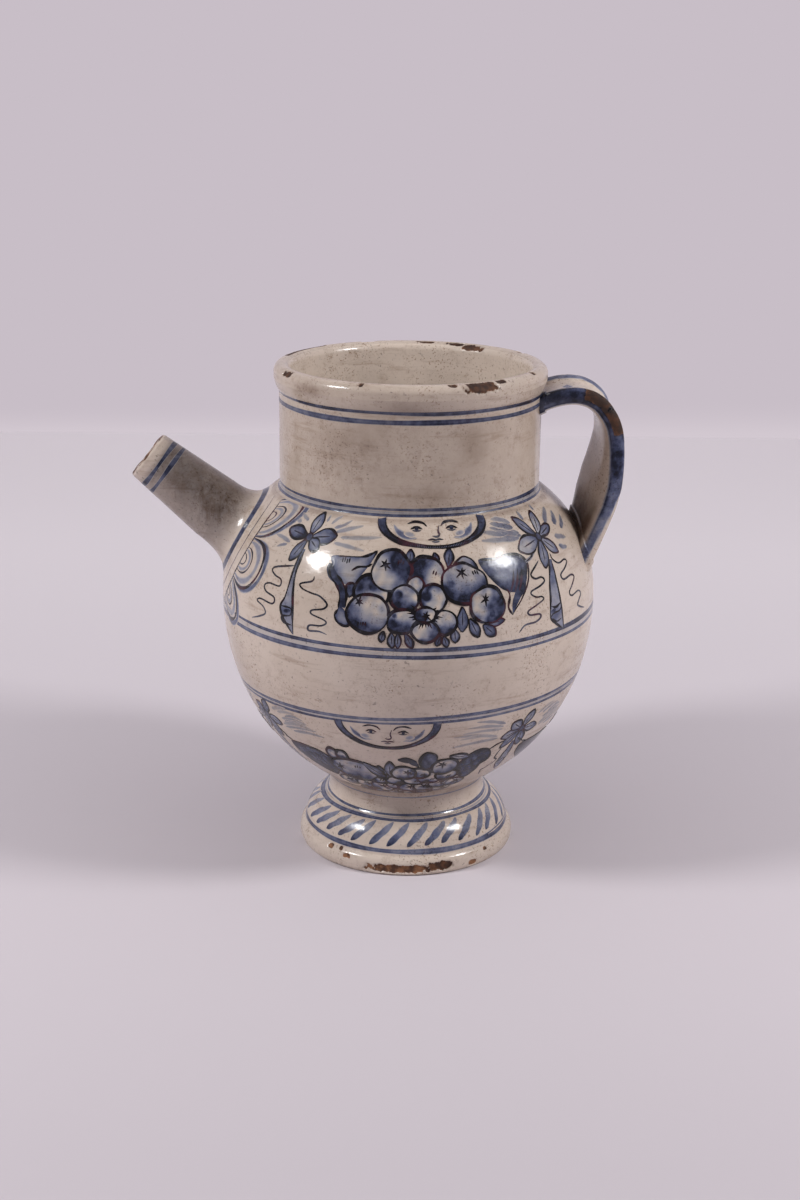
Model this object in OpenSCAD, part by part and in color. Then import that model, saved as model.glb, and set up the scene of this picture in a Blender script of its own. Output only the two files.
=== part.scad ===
// Footed, spouted storage jar of tin-glazed earthenware, in millimetres.
// Stands on z = 0 with its turning axis on Z, the spout towards -X and the
// strap handle towards +X. Every piece is a separate clay part that is thrown,
// pulled or rolled by hand, and stuck to the next one with slip.

/* [Belly] */
// Widest outer radius of the round body
belly_r = 78.8; // [60:0.1:110]
// How deep the lower half of the body hangs below its widest belt
belly_depth = 86.9; // [60:0.1:120]
// Height of the straight belt at the widest place
belly_belt_h = 3.5; // [1:0.1:12]
// Radius of the shoulder's arc above the belt
shoulder_arc = 52.5; // [44:0.1:60]
// Wall thickness of the body
belly_wall = 5.5; // [4:0.1:7]

/* [Neck] */
// Outer radius of the wide upright neck
neck_r = 54.4; // [46:0.1:60]
// Wall thickness of the neck
neck_wall = 5; // [3.5:0.1:6]
// Height of the neck from the shoulder to the top of the rim
neck_h = 52.5; // [44:0.5:70]
// Flat ledge of the shoulder that shows outside the neck
neck_ledge = 2; // [1:0.1:4]
// How far the rolled rim stands out past the neck
rim_out = 2.2; // [1:0.1:4]
// Height of the rolled rim
rim_h = 10; // [8:0.1:14]

/* [Foot] */
// Widest radius of the foot, at its edge
foot_r = 45.6; // [40:0.1:60]
// Outer radius of the flat ring that the jar stands on
foot_base_r = 43.6; // [41:0.1:58]
// Height of the foot up to the ledge under the stem
foot_h = 24; // [20:0.1:36]
// Height of the upright band at the foot's edge
foot_edge_h = 8.5; // [5:0.1:12]
// Radius of the rounding above the edge band
foot_round = 9; // [5:0.1:12]
// Outer radius of the ledge on top of the foot
foot_ledge_r = 37.8; // [36:0.1:39]
// Outer radius of the stem that carries the body
stem_r = 31.5; // [28:0.1:33]
// Height of the stem from the ledge to the body
stem_h = 7.3; // [6:0.1:12]
// Inner radius of the hollow foot at the table
foot_hollow_low_r = 37; // [32:0.1:39]
// Inner radius of the hollow foot at its top
foot_hollow_top_r = 25.5; // [20:0.1:27]

/* [Spout] */
// How far below the shoulder's ledge the spout's axis leaves the body
spout_drop = 17.5; // [14:0.5:24]
// Angle of the spout above the horizontal
spout_tilt = 39; // [30:1:50]
// Length of the spout along its axis, from the body to the tip
spout_len = 48; // [38:0.5:70]
// Outer radius at the tip
spout_tip_r = 10.9; // [9.5:0.1:13]
// Outer radius where the flare of the root begins
spout_mid_r = 13.9; // [13:0.1:15.5]
// Outer radius of the flared root
spout_root_r = 17; // [16:0.1:19]
// Distance from the body at which the flare begins
spout_flare_len = 12; // [9:0.1:16]
// Radius of the flare's hollow curve
spout_flare_arc = 14; // [10:0.5:20]
// Radius of the channel through the spout
spout_bore_r = 6.5; // [4:0.1:8]
// Clearance of the hole in the body round the channel, on its outer side
pour_hole_clear = 0.3; // [0.1:0.1:1]
// How much wider the hole in the body is on its inner side
pour_hole_flare = 2.2; // [0.8:0.1:3]

/* [Handle] */
// Width of the strap
handle_w = 34; // [24:0.5:40]
// Thickness of the strap at its upright edges
handle_edge_t = 5.9; // [4:0.1:8]
// How far the strap's inner face swells below its edges
handle_swell = 2.2; // [1:0.1:6]
// Depth of the channel along the strap's outer face
handle_groove = 2.6; // [0.5:0.1:3.5]
// How far the middle of the strap stands out from the neck
handle_reach = 26.6; // [20:0.1:36]
// Height of the strap's upper root above the shoulder
handle_root_h = 33; // [28:0.5:36]
// How far the lines of the strap run on inside the neck and the body
handle_sink = 14; // [12:0.5:18]
// Rise of the strap's crown above its upper root
handle_rise = 10; // [6:0.5:14]
// Height of the strap's tail above the widest belt
handle_tail_h = 7.5; // [4:0.5:14]
// How far the strap runs out of line, from the back at its top to the front at its tail
handle_skew = 11; // [0:0.5:14]
// How far the lower half of the strap is turned about its own run, in degrees
handle_twist = 15; // [0:1:18]

/* [Luting] */
// Narrowest radius of the clay ring round the stem
waist_r = 33.2; // [32.8:0.1:36]
// Radius of the hollow curve of the ring round the stem
waist_arc = 6; // [5.2:0.1:7]
// Radius of the small fillet ring at the neck's base
neck_fillet = 2; // [1.2:0.1:3]
// Outer radius of the clay collar round the spout's root
spout_collar_r = 22; // [21:0.1:24]
// Thickness of the clay pressed round the ends of the strap
handle_wad = 4; // [2.5:0.1:6]

/* [Hidden] */
$fn = 180;
big = 400;
belt_low = foot_h + stem_h + belly_depth * sqrt(1 - pow(stem_r / belly_r, 2));
belt_top = belt_low + belly_belt_h;
shoulder_c = belly_r - shoulder_arc;
seat_z = belt_top + sqrt(pow(shoulder_arc, 2) - pow(neck_r + neck_ledge - shoulder_c, 2));
mouth_r = neck_r - neck_wall;
rim_z = seat_z + neck_h;
rim_r = (neck_wall + rim_out) / 2;
spout_z = seat_z - spout_drop;
spout_root_x = belly_out(spout_z);
spout_lean = asin((spout_z - belt_top) / shoulder_arc);
tail_z = belt_top + handle_tail_h;
tail_x = belly_out(tail_z);
edge_out = handle_edge_t * 0.85;
edge_in = edge_out - handle_edge_t;
path_a = [
    [neck_r - handle_sink, seat_z + handle_root_h - handle_rise * 0.65],
    [neck_r + handle_reach * 0.135, seat_z + handle_root_h + handle_rise],
    [neck_r + handle_reach, seat_z + handle_root_h + handle_rise * 1.3],
    [neck_r + handle_reach, seat_z + handle_root_h - handle_reach * 0.395]
];
path_b = [
    path_a[3],
    [neck_r + handle_reach * 0.96, seat_z + handle_root_h - handle_reach * 0.92],
    [tail_x - handle_reach * 0.085, tail_z + handle_reach * 1.05],
    [tail_x - handle_sink * 1.16, tail_z - handle_sink * 0.71]
];

// Outer radius of the body at height z
function belly_out(z) =
    z >= belt_top ? shoulder_c + sqrt(pow(shoulder_arc, 2) - pow(z - belt_top, 2)) :
    z >= belt_low ? belly_r :
    belly_r * sqrt(1 - pow((belt_low - z) / belly_depth, 2));

// Point and direction of a cubic curve at t
function curve(p, t) = pow(1 - t, 3) * p[0] + 3 * t * pow(1 - t, 2) * p[1] + 3 * t * t * (1 - t) * p[2] + pow(t, 3) * p[3];
function curve_dir(p, t) = pow(1 - t, 2) * (p[1] - p[0]) + 2 * t * (1 - t) * (p[2] - p[1]) + t * t * (p[3] - p[2]);

// The strap's run, u from 0 inside the neck to 1 inside the body
function run(u) = u < 0.5 ? curve(path_a, 2 * u) : curve(path_b, 2 * u - 1);
function run_dir(u) = let(d = u < 0.5 ? curve_dir(path_a, 2 * u) : curve_dir(path_b, 2 * u - 1)) d / norm(d);
function run_twist(u) = handle_twist * min(1, max(0, (u - 0.4) / 0.28)) * min(1, max(0, (1 - u) / 0.25));

// Section of the strap as [across, outward] points, grown all round by g
function strap_section(g) = let(w = handle_w / 2 + g, o = edge_out + g, i = edge_in - g, e = handle_edge_t)
    [[w, o - e * 0.14], [w - e * 0.27, o], [w - e * 0.68, o - e * 0.05], [w - e * 1.27, o - handle_groove * 0.75], [0, o - handle_groove],
     [e * 1.27 - w, o - handle_groove * 0.75], [e * 0.68 - w, o - e * 0.05], [e * 0.27 - w, o], [-w, o - e * 0.14], [-w, i],
     [e * 0.76 - w, i - handle_swell * 0.8], [-w * 0.4, i - handle_swell], [w * 0.4, i - handle_swell],
     [w - e * 0.76, i - handle_swell * 0.8], [w, i]];

// One ring of strap points at u
function strap_ring(u, g) = let(c = run(u), d = run_dir(u), a = run_twist(u), y = handle_skew * (0.45 - u))
    [for (q = strap_section(g)) let(n = q[1] * cos(a) - q[0] * sin(a), l = q[0] * cos(a) + q[1] * sin(a))
        [c[0] - d[1] * n, y + l, c[1] + d[0] * n]];

// Solid swept along the run from u0 to u1, its growth going from g0 to g1
module strap(u0, u1, steps, g0, g1) {
    m = len(strap_section(0));
    points = [for (k = [0 : steps]) let(f = k / steps) each strap_ring(u0 + (u1 - u0) * f, g0 + (g1 - g0) * f)];
    sides = [for (k = [0 : steps - 1], j = [0 : m - 1]) let(a = k * m + j, b = k * m + (j + 1) % m)
        each [[b + m, b, a], [a + m, b + m, a]]];
    polyhedron(points = points, faces = concat([[for (j = [0 : m - 1]) j]], sides, [[for (j = [m - 1 : -1 : 0]) steps * m + j]]), convexity = 10);
}

// Eight corners of a block round the strap at u, shifted along the run by s and grown by g
function wad_ring(u, s, g) = let(d = run_dir(u), c = run(u) + s * d, a = run_twist(u), y = handle_skew * (0.45 - u),
        w = handle_w / 2 + g, o = edge_out + g, i = edge_in - handle_swell - g, e = handle_edge_t * 0.76, f = e / 3)
    [for (q = [[w, o - f], [w - f, o], [f - w, o], [-w, o - f], [-w, i + e], [e - w, i], [w - e, i], [w, i + e]])
        let(n = q[1] * cos(a) - q[0] * sin(a), l = q[0] * cos(a) + q[1] * sin(a))
        [c[0] - d[1] * n, y + l, c[1] + d[0] * n]];

// Tapered block round the strap at u, from its thin end at s0 to its wide end at s1
module wad(u, s0, g0, s1, g1) {
    low = s0 < s1 ? wad_ring(u, s0, g0) : wad_ring(u, s1, g1);
    top = s0 < s1 ? wad_ring(u, s1, g1) : wad_ring(u, s0, g0);
    polyhedron(points = concat(low, top), faces = concat([[for (j = [0 : 7]) j], [for (j = [7 : -1 : 0]) 8 + j]],
        [for (j = [0 : 7]) [8 + j, 8 + (j + 1) % 8, (j + 1) % 8, j]]));
}

// Half section of the body's outside, drawn in by t
module belly_section(t) {
    intersection() {
        translate([0, belt_low]) scale([belly_r - t, belly_depth - t]) circle(1);
        translate([0, belt_low - big]) square([big, big]);
    }
    translate([0, belt_low]) square([belly_r - t, belly_belt_h]);
    intersection() {
        union() {
            translate([shoulder_c, belt_top]) circle(shoulder_arc - t);
            translate([0, belt_top]) square([shoulder_c, shoulder_arc - t]);
        }
        translate([0, belt_top]) square([big, seat_z - belt_top]);
    }
}

// Full body without its hollow, to fit the other pieces against
module belly_solid() {
    rotate_extrude() belly_section(0);
}

// Full neck without its hollow
module neck_solid() {
    translate([0, 0, seat_z]) cylinder(r = neck_r, h = neck_h);
}

// Puts a child that points along +Z on the body, leaning at the given angle
module at_spout(tilt) {
    translate([-spout_root_x, 0, spout_z]) rotate([0, tilt - 90, 0]) children();
}

// Spout without its channel
module spout_solid() {
    at_spout(spout_tilt) rotate_extrude() {
        polygon([[0, spout_flare_len], [spout_mid_r, spout_flare_len], [spout_tip_r, spout_len - spout_tip_r * 0.11], [spout_tip_r * 0.9, spout_len], [0, spout_len]]);
        difference() {
            translate([0, -spout_root_r]) square([spout_root_r, spout_root_r + spout_flare_len]);
            translate([spout_mid_r + spout_flare_arc, spout_flare_len]) circle(spout_flare_arc);
        }
    }
}

// Hollow pedestal foot with a flat ring to stand on and a stem to carry the body
module foot() {
    color("#b7a79d") difference() {
        rotate_extrude() {
            translate([foot_r - foot_round, foot_edge_h]) intersection() {
                circle(foot_round);
                square([foot_round, foot_round]);
            }
            polygon([[foot_hollow_low_r, 0], [foot_base_r, 0], [foot_r, foot_edge_h * 0.4], [foot_r, foot_edge_h],
                     [foot_r - foot_round * (1 - cos(30)), foot_edge_h + foot_round * sin(30)], [foot_ledge_r, foot_h * 0.967],
                     [foot_ledge_r - foot_h * 0.033, foot_h], [stem_r, foot_h], [stem_r, foot_h + stem_h * 1.8],
                     [foot_hollow_top_r, foot_h + stem_h * 1.8], [foot_hollow_top_r, foot_h + stem_h * 0.27]]);
        }
        belly_solid();
    }
}

// Ring of soft clay that fills the corner between the foot's ledge, its stem and the body
module foot_luting() {
    color("#c4b3a6") difference() {
        rotate_extrude() difference() {
            translate([stem_r, foot_h]) square([waist_r - stem_r + waist_arc * 0.4, stem_h * 1.8]);
            translate([waist_r + waist_arc, foot_h + stem_h * 0.575]) circle(waist_arc);
        }
        belly_solid();
    }
}

// Round thrown body with its mouth cut for the neck and its side cut for the spout
module belly() {
    color("#b9aaa2") difference() {
        rotate_extrude() difference() {
            belly_section(0);
            belly_section(belly_wall);
            translate([0, seat_z - belly_wall * 2]) square([mouth_r, belly_wall * 4]);
        }
        at_spout(spout_tilt) translate([0, 0, -belly_wall * 3])
            cylinder(r1 = spout_bore_r + pour_hole_clear + pour_hole_flare, r2 = spout_bore_r + pour_hole_clear, h = belly_wall * 3.6);
    }
}

// Wide upright neck with its rolled rim, set on the body's mouth
module neck() {
    color("#b9aaa2") rotate_extrude() {
        translate([mouth_r, seat_z]) square([neck_wall, neck_h - rim_r]);
        translate([mouth_r + rim_r, rim_z - rim_r]) circle(rim_r);
        translate([mouth_r, rim_z - rim_h + rim_r]) square([rim_r * 2, rim_h - rim_r * 2]);
        intersection() {
            translate([mouth_r + rim_r, rim_z - rim_h + rim_r]) circle(rim_r);
            translate([mouth_r, rim_z - rim_h]) square([rim_r * 2, rim_h]);
        }
    }
}

// Small fillet ring in the corner between the neck and the shoulder's ledge
module neck_luting() {
    color("#c4b3a6") rotate_extrude() difference() {
        translate([neck_r, seat_z]) square([neck_ledge, neck_fillet * 1.15]);
        translate([neck_r + neck_fillet * 1.15, seat_z + neck_fillet * 1.15]) circle(neck_fillet);
    }
}

// Tapered tube with a flared root that is cut to sit on the body
module spout() {
    color("#b9aaa2") difference() {
        spout_solid();
        belly_solid();
        at_spout(spout_tilt) translate([0, 0, -spout_root_r]) cylinder(r = spout_bore_r, h = spout_len + 2 * spout_root_r);
    }
}

// Clay collar that is smoothed round the spout's root, square to the body's wall
module spout_luting() {
    color("#c4b3a6") difference() {
        at_spout(spout_lean) rotate_extrude() difference() {
            translate([spout_collar_r * 0.48, -spout_collar_r * 0.4]) square([spout_collar_r * 0.52, spout_collar_r * 0.7]);
            translate([spout_collar_r * 1.136, spout_collar_r * 0.341]) circle(spout_collar_r * 0.477);
        }
        belly_solid();
        spout_solid();
        translate([0, 0, seat_z]) cylinder(r = neck_r + neck_ledge * 2, h = neck_h);
    }
}

// Channelled strap handle, pulled and bent from the neck to the body
module handle() {
    color("#b3a398") difference() {
        strap(0, 1, 30, 0, 0);
        neck_solid();
        belly_solid();
    }
}

// Clay pressed round the strap's upper root on the neck
module handle_root_luting() {
    color("#c4b3a6") difference() {
        wad(0.15, handle_wad, handle_wad * 0.3, -handle_sink, handle_wad * 1.25);
        strap(0, 1, 30, 0, 0);
        neck();
        neck_solid();
    }
}

// Clay pressed round the strap's tail on the body
module handle_tail_luting() {
    color("#c4b3a6") difference() {
        wad(0.85, -handle_wad, handle_wad * 0.3, handle_sink * 1.29, handle_wad);
        strap(0, 1, 30, 0, 0);
        belly_solid();
    }
}

foot();
foot_luting();
belly();
neck();
neck_luting();
spout();
spout_luting();
handle();
handle_root_luting();
handle_tail_luting();
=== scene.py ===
"""Footed, spouted syrup jar of blue-painted tin-glazed earthenware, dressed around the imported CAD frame."""
import logging
import math
from dataclasses import dataclass, field
from enum import Enum
from typing import Any, Callable, Optional, Sequence

import bpy
import numpy as np
from mathutils import Matrix


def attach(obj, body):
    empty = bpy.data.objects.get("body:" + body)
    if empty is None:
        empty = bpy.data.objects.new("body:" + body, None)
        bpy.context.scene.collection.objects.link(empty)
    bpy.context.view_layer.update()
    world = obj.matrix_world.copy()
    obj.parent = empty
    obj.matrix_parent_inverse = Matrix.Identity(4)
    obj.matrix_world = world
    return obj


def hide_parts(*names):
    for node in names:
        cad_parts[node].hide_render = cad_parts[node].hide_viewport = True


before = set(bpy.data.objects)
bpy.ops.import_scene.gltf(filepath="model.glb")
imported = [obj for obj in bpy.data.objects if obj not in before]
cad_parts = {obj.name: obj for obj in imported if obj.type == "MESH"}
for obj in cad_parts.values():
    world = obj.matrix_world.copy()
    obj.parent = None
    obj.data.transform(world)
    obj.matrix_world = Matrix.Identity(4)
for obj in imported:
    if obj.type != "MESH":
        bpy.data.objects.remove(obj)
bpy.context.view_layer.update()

log = logging.getLogger("syrup_jar")
MM = 0.001
TURN = 2 * math.pi
BODY = "root"
Array = np.ndarray
Path = Sequence[Sequence[float]]
Place = Callable[[Array], tuple[Array, Array]]
Tone = Callable[[Array, Array], Array]


class Mark(Enum):
    """What a vertex of a glazed piece can carry besides plain glaze."""

    COBALT = "cobalt"
    LINE = "line"
    BARE = "bare"
    # Dirt and painted shade alike, multiplied into the glaze's colour.
    SOIL = "soil"


Marks = dict[Mark, Array]


def linear(hex_colour: str) -> tuple[float, float, float, float]:
    """Linear red, green, blue and alpha of an sRGB hex colour."""
    parts = [int(hex_colour[k:k + 2], 16) / 255 for k in (1, 3, 5)]
    return (*(p / 12.92 if p <= 0.04045 else ((p + 0.055) / 1.055) ** 2.4 for p in parts), 1.0)


@dataclass(frozen=True)
class Nodes:
    """A node tree that is being filled."""

    tree: Any

    @classmethod
    def of(cls, owner: Any) -> "Nodes":
        """The emptied tree of a material or a world.

        Args:
            owner: The material or world.

        Returns:
            The tree.
        """
        owner.use_nodes = True
        owner.node_tree.nodes.clear()
        return cls(owner.node_tree)

    def put(self, kind: str, settings: Optional[dict] = None, feeds: Optional[dict] = None) -> Any:
        """Adds one node.

        Args:
            kind: Blender's name of its type.
            settings: Its properties by name.
            feeds: Its inputs by name or index, each a value, an output or a list of outputs.

        Returns:
            The node's outputs.
        """
        node = self.tree.nodes.new(kind)
        for name, value in (settings or {}).items():
            setattr(node, name, value)
        for name, value in (feeds or {}).items():
            if isinstance(value, (bpy.types.NodeSocket, list)):
                for source in value if isinstance(value, list) else [value]:
                    self.tree.links.new(source, node.inputs[name])
            else:
                node.inputs[name].default_value = value
        return node.outputs

    def calc(self, kind: str, *values: Any, clamp: bool = False) -> Any:
        """Arithmetic of two or three values."""
        return self.put("ShaderNodeMath", {"operation": kind, "use_clamp": clamp}, dict(enumerate(values)))[0]

    def band(self, value: Any, low: float, high: float, start: float = 0.0, end: float = 1.0,
             ease: str = "SMOOTHSTEP") -> Any:
        """Maps low to high of a value onto start to end, held at the ends."""
        feeds = {"Value": value, 1: low, 2: high, 3: start, 4: end}
        return self.put("ShaderNodeMapRange", {"interpolation_type": ease}, feeds)[0]

    def blend(self, share: Any, under: Any, over: Any, kind: str = "MIX") -> Any:
        """Mixes two colours by a share."""
        settings = {"data_type": "RGBA", "blend_type": kind}
        return self.put("ShaderNodeMix", settings, {0: share, 6: under, 7: over})[2]

    def noise(self, size_mm: float, at: Any, detail: float, rough: float) -> Any:
        """Noise whose blotches are about size_mm across."""
        feeds = {"Vector": at, "Scale": 1 / (size_mm * MM), "Detail": detail, "Roughness": rough}
        return self.put("ShaderNodeTexNoise", None, feeds)["Fac"]


def rise(low: float, high: float, value: Array) -> Array:
    """Smooth rise from 0 at low to 1 at high."""
    t = np.clip((np.asarray(value, float) - low) / (high - low), 0, 1)
    return t * t * (3 - 2 * t)


def hump(value: Array, at: float, wide: float) -> Array:
    """Smooth hump of height 1 at a place, sunk to about a third at a distance of wide."""
    return np.exp(-((value - at) / wide) ** 2)


def ring_angles(count: int) -> Array:
    """Even angles all round, the first at 0."""
    return np.linspace(0, TURN, count, endpoint=False)


def smooth_path(path: Path, closed: bool, step: float) -> Array:
    """Walks in even steps along a smooth curve through points.

    Args:
        path: The points.
        closed: True if the curve comes back to its start.
        step: Length of one step.

    Returns:
        Points along the curve.
    """
    p = np.asarray(path, float)
    if closed:
        p = np.vstack([p[-1:], p, p[:2]])
    else:
        p = np.vstack([2 * p[:1] - p[1:2], p, 2 * p[-1:] - p[-2:-1]])
    t = np.linspace(0, 1, 12, endpoint=False)[:, None]
    runs = []
    for a, b, c, d in zip(p[:-3], p[1:-2], p[2:-1], p[3:]):
        square, cube = 2 * a - 5 * b + 4 * c - d, 3 * b - a - 3 * c + d
        runs.append(0.5 * (2 * b + (c - a) * t + square * t ** 2 + cube * t ** 3))
    fine = np.vstack(runs + [p[-2:-1]])
    length = np.concatenate([[0], np.cumsum(np.linalg.norm(np.diff(fine, axis=0), axis=1))])
    count = max(int(round(length[-1] / step)), 8 if closed else 3)
    at = np.linspace(0, length[-1], count + 1)
    if closed:
        at = at[:-1]
    return np.stack([np.interp(at, length, fine[:, k]) for k in range(fine.shape[1])], axis=1)


def fill_steps(corners: Path, step: float) -> Array:
    """Adds points along straight runs.

    Args:
        corners: Corner points in order.
        step: Greatest distance between two points.

    Returns:
        Corners and the points between.
    """
    out = [np.asarray(corners[0], float)]
    for a, b in zip(corners[:-1], corners[1:]):
        a, b = np.asarray(a, float), np.asarray(b, float)
        count = max(1, int(math.ceil(np.linalg.norm(b - a) / step)))
        out += [a + (b - a) * k / count for k in range(1, count + 1)]
    return np.array(out)


@dataclass
class Clay:
    """Vertices, faces and marks of one piece in millimetres, gathered before it becomes a mesh."""

    name: str
    points: list[Array] = field(default_factory=list)
    faces: list[tuple[int, ...]] = field(default_factory=list)
    flat: list[bool] = field(default_factory=list)
    marks: dict[Mark, list[Array]] = field(default_factory=lambda: {m: [] for m in Mark})
    count: int = 0

    def add(self, xyz: Array, marks: Optional[Marks] = None) -> Array:
        """Adds vertices.

        Args:
            xyz: Places in millimetres, in any shape that ends in 3.
            marks: Their marks, in the same shape without the 3.

        Returns:
            Vertex numbers in that shape.
        """
        shape = xyz.shape[:-1]
        number = int(np.prod(shape))
        self.points.append(xyz.reshape(-1, 3))
        for mark in Mark:
            value = (marks or {}).get(mark, 0.0)
            self.marks[mark].append(np.broadcast_to(np.asarray(value, float), shape).reshape(-1))
        index = np.arange(self.count, self.count + number).reshape(shape)
        self.count += number
        return index

    def quads(self, index: Array, around: bool = False, along: bool = False, turn: bool = False,
              flat: bool = False) -> None:
        """Joins a grid of vertices with four-sided faces.

        Args:
            index: Vertex numbers in rows and columns.
            around: True if the last column joins the first.
            along: True if the last row joins the first.
            turn: True to turn the faces round.
            flat: True for no smooth shading.
        """
        if around:
            index = np.concatenate([index, index[:, :1]], axis=1)
        if along:
            index = np.concatenate([index, index[:1]], axis=0)
        a, b, c, d = index[:-1, :-1], index[:-1, 1:], index[1:, 1:], index[1:, :-1]
        rows = np.stack([d, c, b, a] if turn else [a, b, c, d], axis=-1).reshape(-1, 4)
        self.faces += [tuple(r) for r in rows.tolist()]
        self.flat += [flat] * len(rows)

    def fan(self, pole: int, ring: Array, turn: bool = False, flat: bool = False) -> None:
        """Joins a ring of vertices to one in its middle.

        Args:
            pole: The middle vertex.
            ring: The vertices round it.
            turn: True to turn the faces round.
            flat: True for no smooth shading.
        """
        for a, b in zip(ring.tolist(), np.roll(ring, -1).tolist()):
            self.faces.append((b, a, pole) if turn else (a, b, pole))
            self.flat.append(flat)

    def cap(self, index: Array, poles: Sequence[Array]) -> None:
        """Closes the two ends of a tube, each with a point in its middle."""
        for row, turn in ((0, True), (-1, False)):
            self.fan(int(self.add(poles[row][None])[0]), index[row], turn=turn)

    def make(self, material: Any) -> Any:
        """Makes a Blender object at the origin, in metres.

        Args:
            material: Its finish.

        Returns:
            The object.
        """
        mesh = bpy.data.meshes.new(self.name)
        mesh.from_pydata((np.vstack(self.points) * MM).tolist(), [], self.faces)
        mesh.attributes.new("sharp_face", "BOOLEAN", "FACE").data.foreach_set("value", np.array(self.flat))
        for mark, values in self.marks.items():
            joined = np.concatenate(values)
            if joined.any():
                layer = mesh.attributes.new(mark.value, "FLOAT", "POINT")
                layer.data.foreach_set("value", joined.astype(np.float32))
        mesh.materials.append(material)
        mesh.validate()
        mesh.update()
        piece = bpy.data.objects.new(self.name, mesh)
        bpy.context.scene.collection.objects.link(piece)
        return piece


def settle(piece: Any, *nodes: str) -> None:
    """Ties a finished piece to the frame.

    Args:
        piece: The object.
        nodes: CAD nodes that it stands for.
    """
    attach(piece, BODY)
    if nodes:
        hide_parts(*nodes)
    log.info("%s: %d faces", piece.name, len(piece.data.polygons))


def apply_modifiers(piece: Any) -> None:
    """Puts what a piece's modifiers make in place of its mesh.

    Args:
        piece: The object.
    """
    bpy.context.view_layer.update()
    done = bpy.data.meshes.new_from_object(piece.evaluated_get(bpy.context.evaluated_depsgraph_get()))
    piece.modifiers.clear()
    piece.data = done


def uneven(az: Array, z: Array) -> Array:
    """How far a hand-thrown wall lies inside its ideal radius, never above zero."""
    oval = 0.11 * (np.sin(2 * az + 0.7) - 1) + 0.06 * (np.sin(3 * az + 0.045 * z) - 1)
    return oval + 0.028 * (np.sin(0.85 * z + 0.6 * np.sin(az)) - 1)


def turned(r: Array, a: Array, z: Array) -> Array:
    """Places at a radius, an angle from the front and a height, in millimetres."""
    return np.stack([r * np.sin(a), -r * np.cos(a), z + 0 * r], axis=-1)


class Wall:
    """A surface that can be painted on, with an angle and a run as its two coordinates."""

    def point(self, a: Array, b: Array) -> Array:
        """Place on the surface at angle a and run b, in millimetres."""
        raise NotImplementedError

    def lifted(self, a: Array, b: Array, lift: float) -> Array:
        """Places at a small height over the surface.

        Args:
            a: Angle.
            b: Run along the surface.
            lift: The height.

        Returns:
            Places in millimetres.
        """
        a, b = np.broadcast_arrays(np.asarray(a, float), np.asarray(b, float))
        e, h = 1e-3, 2e-2
        sideways = self.point(a + e, b) - self.point(a - e, b)
        normal = np.cross(sideways, self.point(a, b + h) - self.point(a, b - h))
        return self.point(a, b) + lift * normal / np.linalg.norm(normal, axis=-1, keepdims=True)


@dataclass(frozen=True)
class BellyWall(Wall):
    """Outer face of the round body: half an ellipse, a short belt and a shoulder's arc."""

    radius_belt: float = 78.8
    depth: float = 86.9
    belt_low: float = 110.955
    belt_top: float = 114.455
    arc: float = 52.5
    seat: float = 157.469

    def radius(self, z: Array) -> Array:
        """Ideal radius at a height.

        Args:
            z: The height.

        Returns:
            The radius.
        """
        z = np.asarray(z, float)
        over, drop = np.maximum(z - self.belt_top, 0), np.maximum(self.belt_low - z, 0) / self.depth
        up = self.radius_belt - self.arc + np.sqrt(np.maximum(self.arc ** 2 - over ** 2, 0))
        low = self.radius_belt * np.sqrt(np.maximum(1 - drop ** 2, 0))
        return np.where(z > self.belt_low, up, low)

    def point(self, a: Array, b: Array) -> Array:
        """Place at angle a and height b."""
        return turned(self.radius(b) + uneven(a, b), a, b)

    def height_at(self, run: Array) -> Array:
        """Height of a point on the shoulder by its run up from the belt, or down if negative."""
        run = np.asarray(run, float)
        return self.belt_top + np.where(run > 0, self.arc * np.sin(np.clip(run / self.arc, 0, 1.4)), run)


@dataclass(frozen=True)
class TurnedWall(Wall):
    """Outer face of a neck or foot, from radii given at a few heights."""

    heights: tuple[float, ...]
    radii: tuple[float, ...]
    sway: float = 1.0

    def point(self, a: Array, b: Array) -> Array:
        """Place at angle a and height b."""
        return turned(np.interp(b, self.heights, self.radii) + self.sway * uneven(a, b), a, b)


def spotless(run: Array) -> Array:
    """No dirt or painted shade anywhere."""
    return 0 * run


def shoulder_shade(z: Array) -> Array:
    """Faint painted shade on the upper body, darker higher up, on bare glaze and paint alike."""
    return 0.2 * rise(116.0, 144.0, z)


BELLY = BellyWall()
FRONT = -math.pi / 2


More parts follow.
